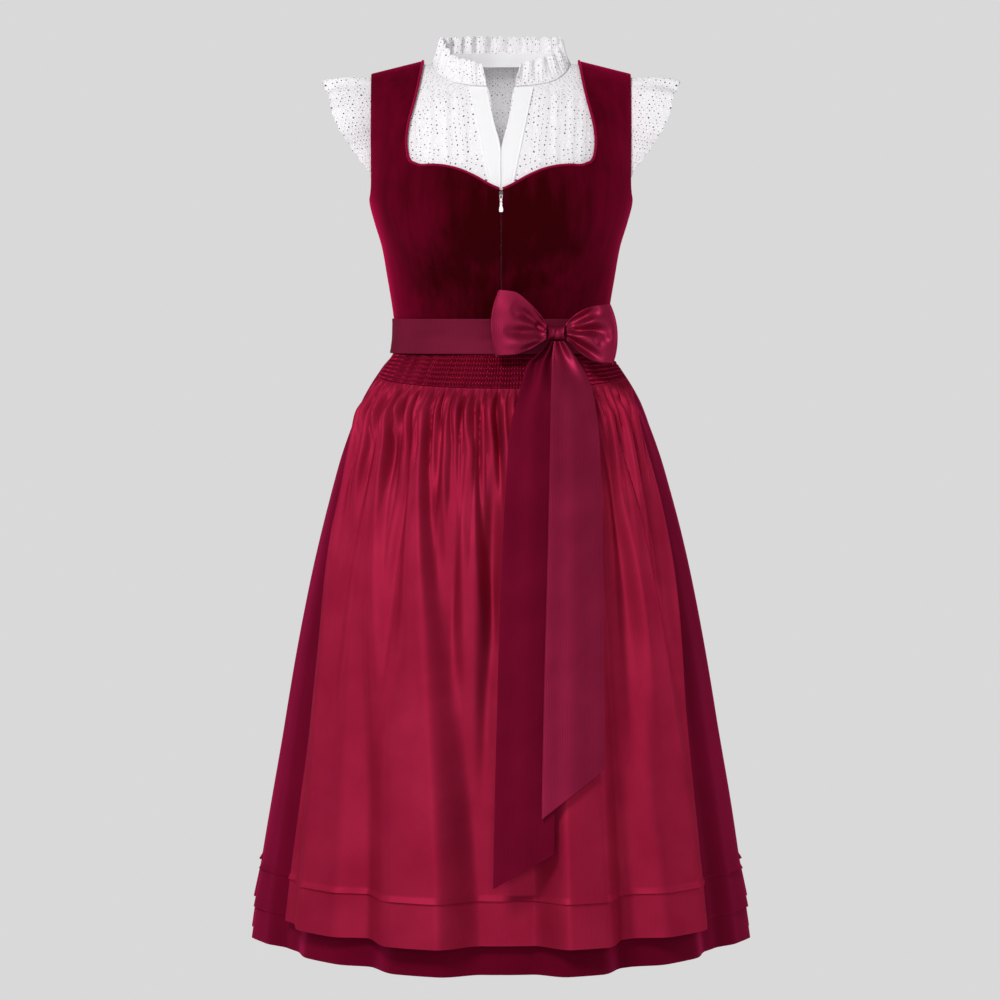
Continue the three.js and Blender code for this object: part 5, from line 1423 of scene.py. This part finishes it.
# The loops' folds, from the knot outwards: troughs have a positive depth and ridges a negative one.
RIGHT_LOOP_FOLDS = table(
    "x0 down0 x1 down1 wide deep",
    (11, -4, 50, -32, 5, 12),
    (10, 0, 60, -3, 4.5, 10),
    (14, -4, 26, -11, 2.6, 6),
    (12, -2, 46, -17, 2.6, -4),
    (14, 5, 64, 14, 4, -3),
    (12, 7, 46, 24, 3, 5),
)
LEFT_LOOP_FOLDS = table(
    "x0 down0 x1 down1 wide deep",
    (11, -6, 48, -29, 4.5, 10),
    (13, -3, 64, -4, 4.5, 10),
    (12, -5, 56, -19, 2.8, -4),
    (11, 0, 44, 3, 2.6, -4),
    (46, 12, 64, 2, 4, 5),
    (14, 6, 54, 31, 4, 8),
    (13, 10, 34, 27, 3, -3),
)
BACK_TAIL = table(
    "down right left",
    (326, 55, 64),
    (338, 46, 61),
    (352, 31, 60),
    (385, 21, 62),
    (430, 10, 66),
    (510, 4.5, 68),
    (640, -1.5, 66),
    (800, -6, 63),
    (937, -9, 59.5),
)
FRONT_TAIL = table(
    "down right left",
    (326, 62, 74),
    (337, 60.5, 82),
    (352, 59.5, 92),
    (374, 58.5, 104),
    (400, 57.5, 110),
    (450, 56.5, 115),
    (560, 54, 118),
    (700, 50, 119),
    (845, 46.5, 119.5),
)


def angle_on_belt(x, down):
    return np.degrees(np.arcsin((x / belt_half(down)) ** (ROUNDNESS / 2)))


def loop(rows, folds, side, far_y):
    above, below = smooth(rows["out"], rows["above"]), smooth(rows["out"], rows["below"])
    start, reach = rows["out"][0], rows["out"][-1]

    def surface(u, v, out):
        turn = lerp(0.07, 0.93, u) * 2 * np.pi
        share = (1 - np.cos(turn)) / 2
        away = lerp(start, (reach + out) * (1 - 0.1 * (2 * v - 0.9) ** 2), share)
        pinched = (1 - share) * np.sin(np.minimum(1, share * 6) * np.pi / 2)
        crimp = 1.7 * np.cos(v * 5.5 * np.pi) * pinched
        belly = (LOOP_DEPTH + out) * np.sin(turn) * (0.75 + 0.25 * np.sin(np.pi * v))
        y = lerp(LOOP_KNOT_Y, far_y, share) - LOOP_DEPTH - belly - np.sign(np.sin(turn)) * crimp
        droop = np.where(np.sin(turn) < 0, 2.5 * share, 0)
        z = lerp(-below(away), above(away), v) - droop
        in_front = ease(np.sin(turn) * 2.5)
        y = y + in_front * creases(folds, away, -z)
        return stack(KNOT[0] + side * away, y, z - KNOT[1])

    return surface


def knot(u, v, out):
    turn = lerp(-0.12, 1.12, v) * np.pi
    narrow = 1 - 0.26 * np.sin(np.pi * u)
    x = KNOT[0] + (u - 0.5) * 20 * (0.8 + 0.2 * np.abs(np.cos(turn)))
    down = KNOT[1] + (11 + out) * np.cos(turn) * narrow
    crease = 0.35 * np.cos(u * 4 * np.pi + 2.2 * v) - 1.5 * bell(u - 0.15 - 0.65 * v, 0.07)
    ahead = belt_point(angle_on_belt(KNOT[0], np.array(317.0)), np.array(317.0), 0)[1] - 12.4
    swell = (11 + out) * np.sin(turn) * narrow
    seat = belt_point(angle_on_belt(x, down), down, 0)[..., 1] - 0.3
    y = lerp(ahead - swell - crease, seat, rise(-swell, 0, 4))
    return stack(x, y, -down)


def tallest_fold(down):
    right, left = apron_right(down), apron_left(down)
    angles = np.linspace(-4, 42, 15)
    return np.max([apron_out((angle - right) / (left - right), down) for angle in angles], axis=0)


fold_downs = np.linspace(382, 1006, 160)
fold_front = smooth(fold_downs, tallest_fold(fold_downs))


def tail(rows, foot_right, foot_left, gap):
    right, left = smooth(rows["down"], rows["right"]), smooth(rows["down"], rows["left"])
    top = rows["down"][0]

    def surface(u, v, out):
        down = lerp(lerp(foot_right, foot_left, u), top, v)
        edge = np.minimum(down, rows["down"][-1])
        x = lerp(right(edge), left(edge), u)
        forward = np.maximum(fold_front(np.maximum(down, 428)), 0) + gap
        half, depth = skirt_half(down) + forward, skirt_front(down) + forward
        at_knot = 1 - rise(down, top, top + 60)
        y = -depth * np.sqrt(1 - (x / half) ** 2)
        knot_end = 1 - rise(down, top + 4, top + 72)
        pleat = 0.3 * np.cos(u * 4 * np.pi) + 4 * knot_end * np.cos(u * (2.4 if gap > 5 else 3.4) * np.pi - 0.5)
        on_belt = belt_point(angle_on_belt(65.0, np.array(341.0)), np.array(341.0), 0)[1] - gap - 3.5
        return stack(x, np.minimum(y, lerp(y, on_belt, at_knot)) - pleat - out, -down)

    return surface


for node, surface, across, up, cut, face in [
    ("bow_loop_right", loop(RIGHT_LOOP, RIGHT_LOOP_FOLDS, -1, -106), 100, 52, (0.16, 0.068), ribbon_satin),
    ("bow_loop_left", loop(LEFT_LOOP, LEFT_LOOP_FOLDS, 1, -84), 100, 52, (0.148, 0.062), ribbon_satin),
    ("bow_knot", knot, 30, 40, (0.045, 0.022), ribbon_satin),
    ("bow_tail_right", tail(BACK_TAIL, 946, 908, 3), 36, 160, (0.066, 0.62), ribbon_satin_painted_shade),
    ("bow_tail_left", tail(FRONT_TAIL, 868, 814, 8), 36, 160, (0.068, 0.55), ribbon_satin),
]:
    ribbon = cloth("ribbon_" + node, surface, across, up, RIBBON_THICK)
    sew_on(ribbon, face, [node])


# ---------- Finished ----------
bpy.ops.object.select_all(action="DESELECT")
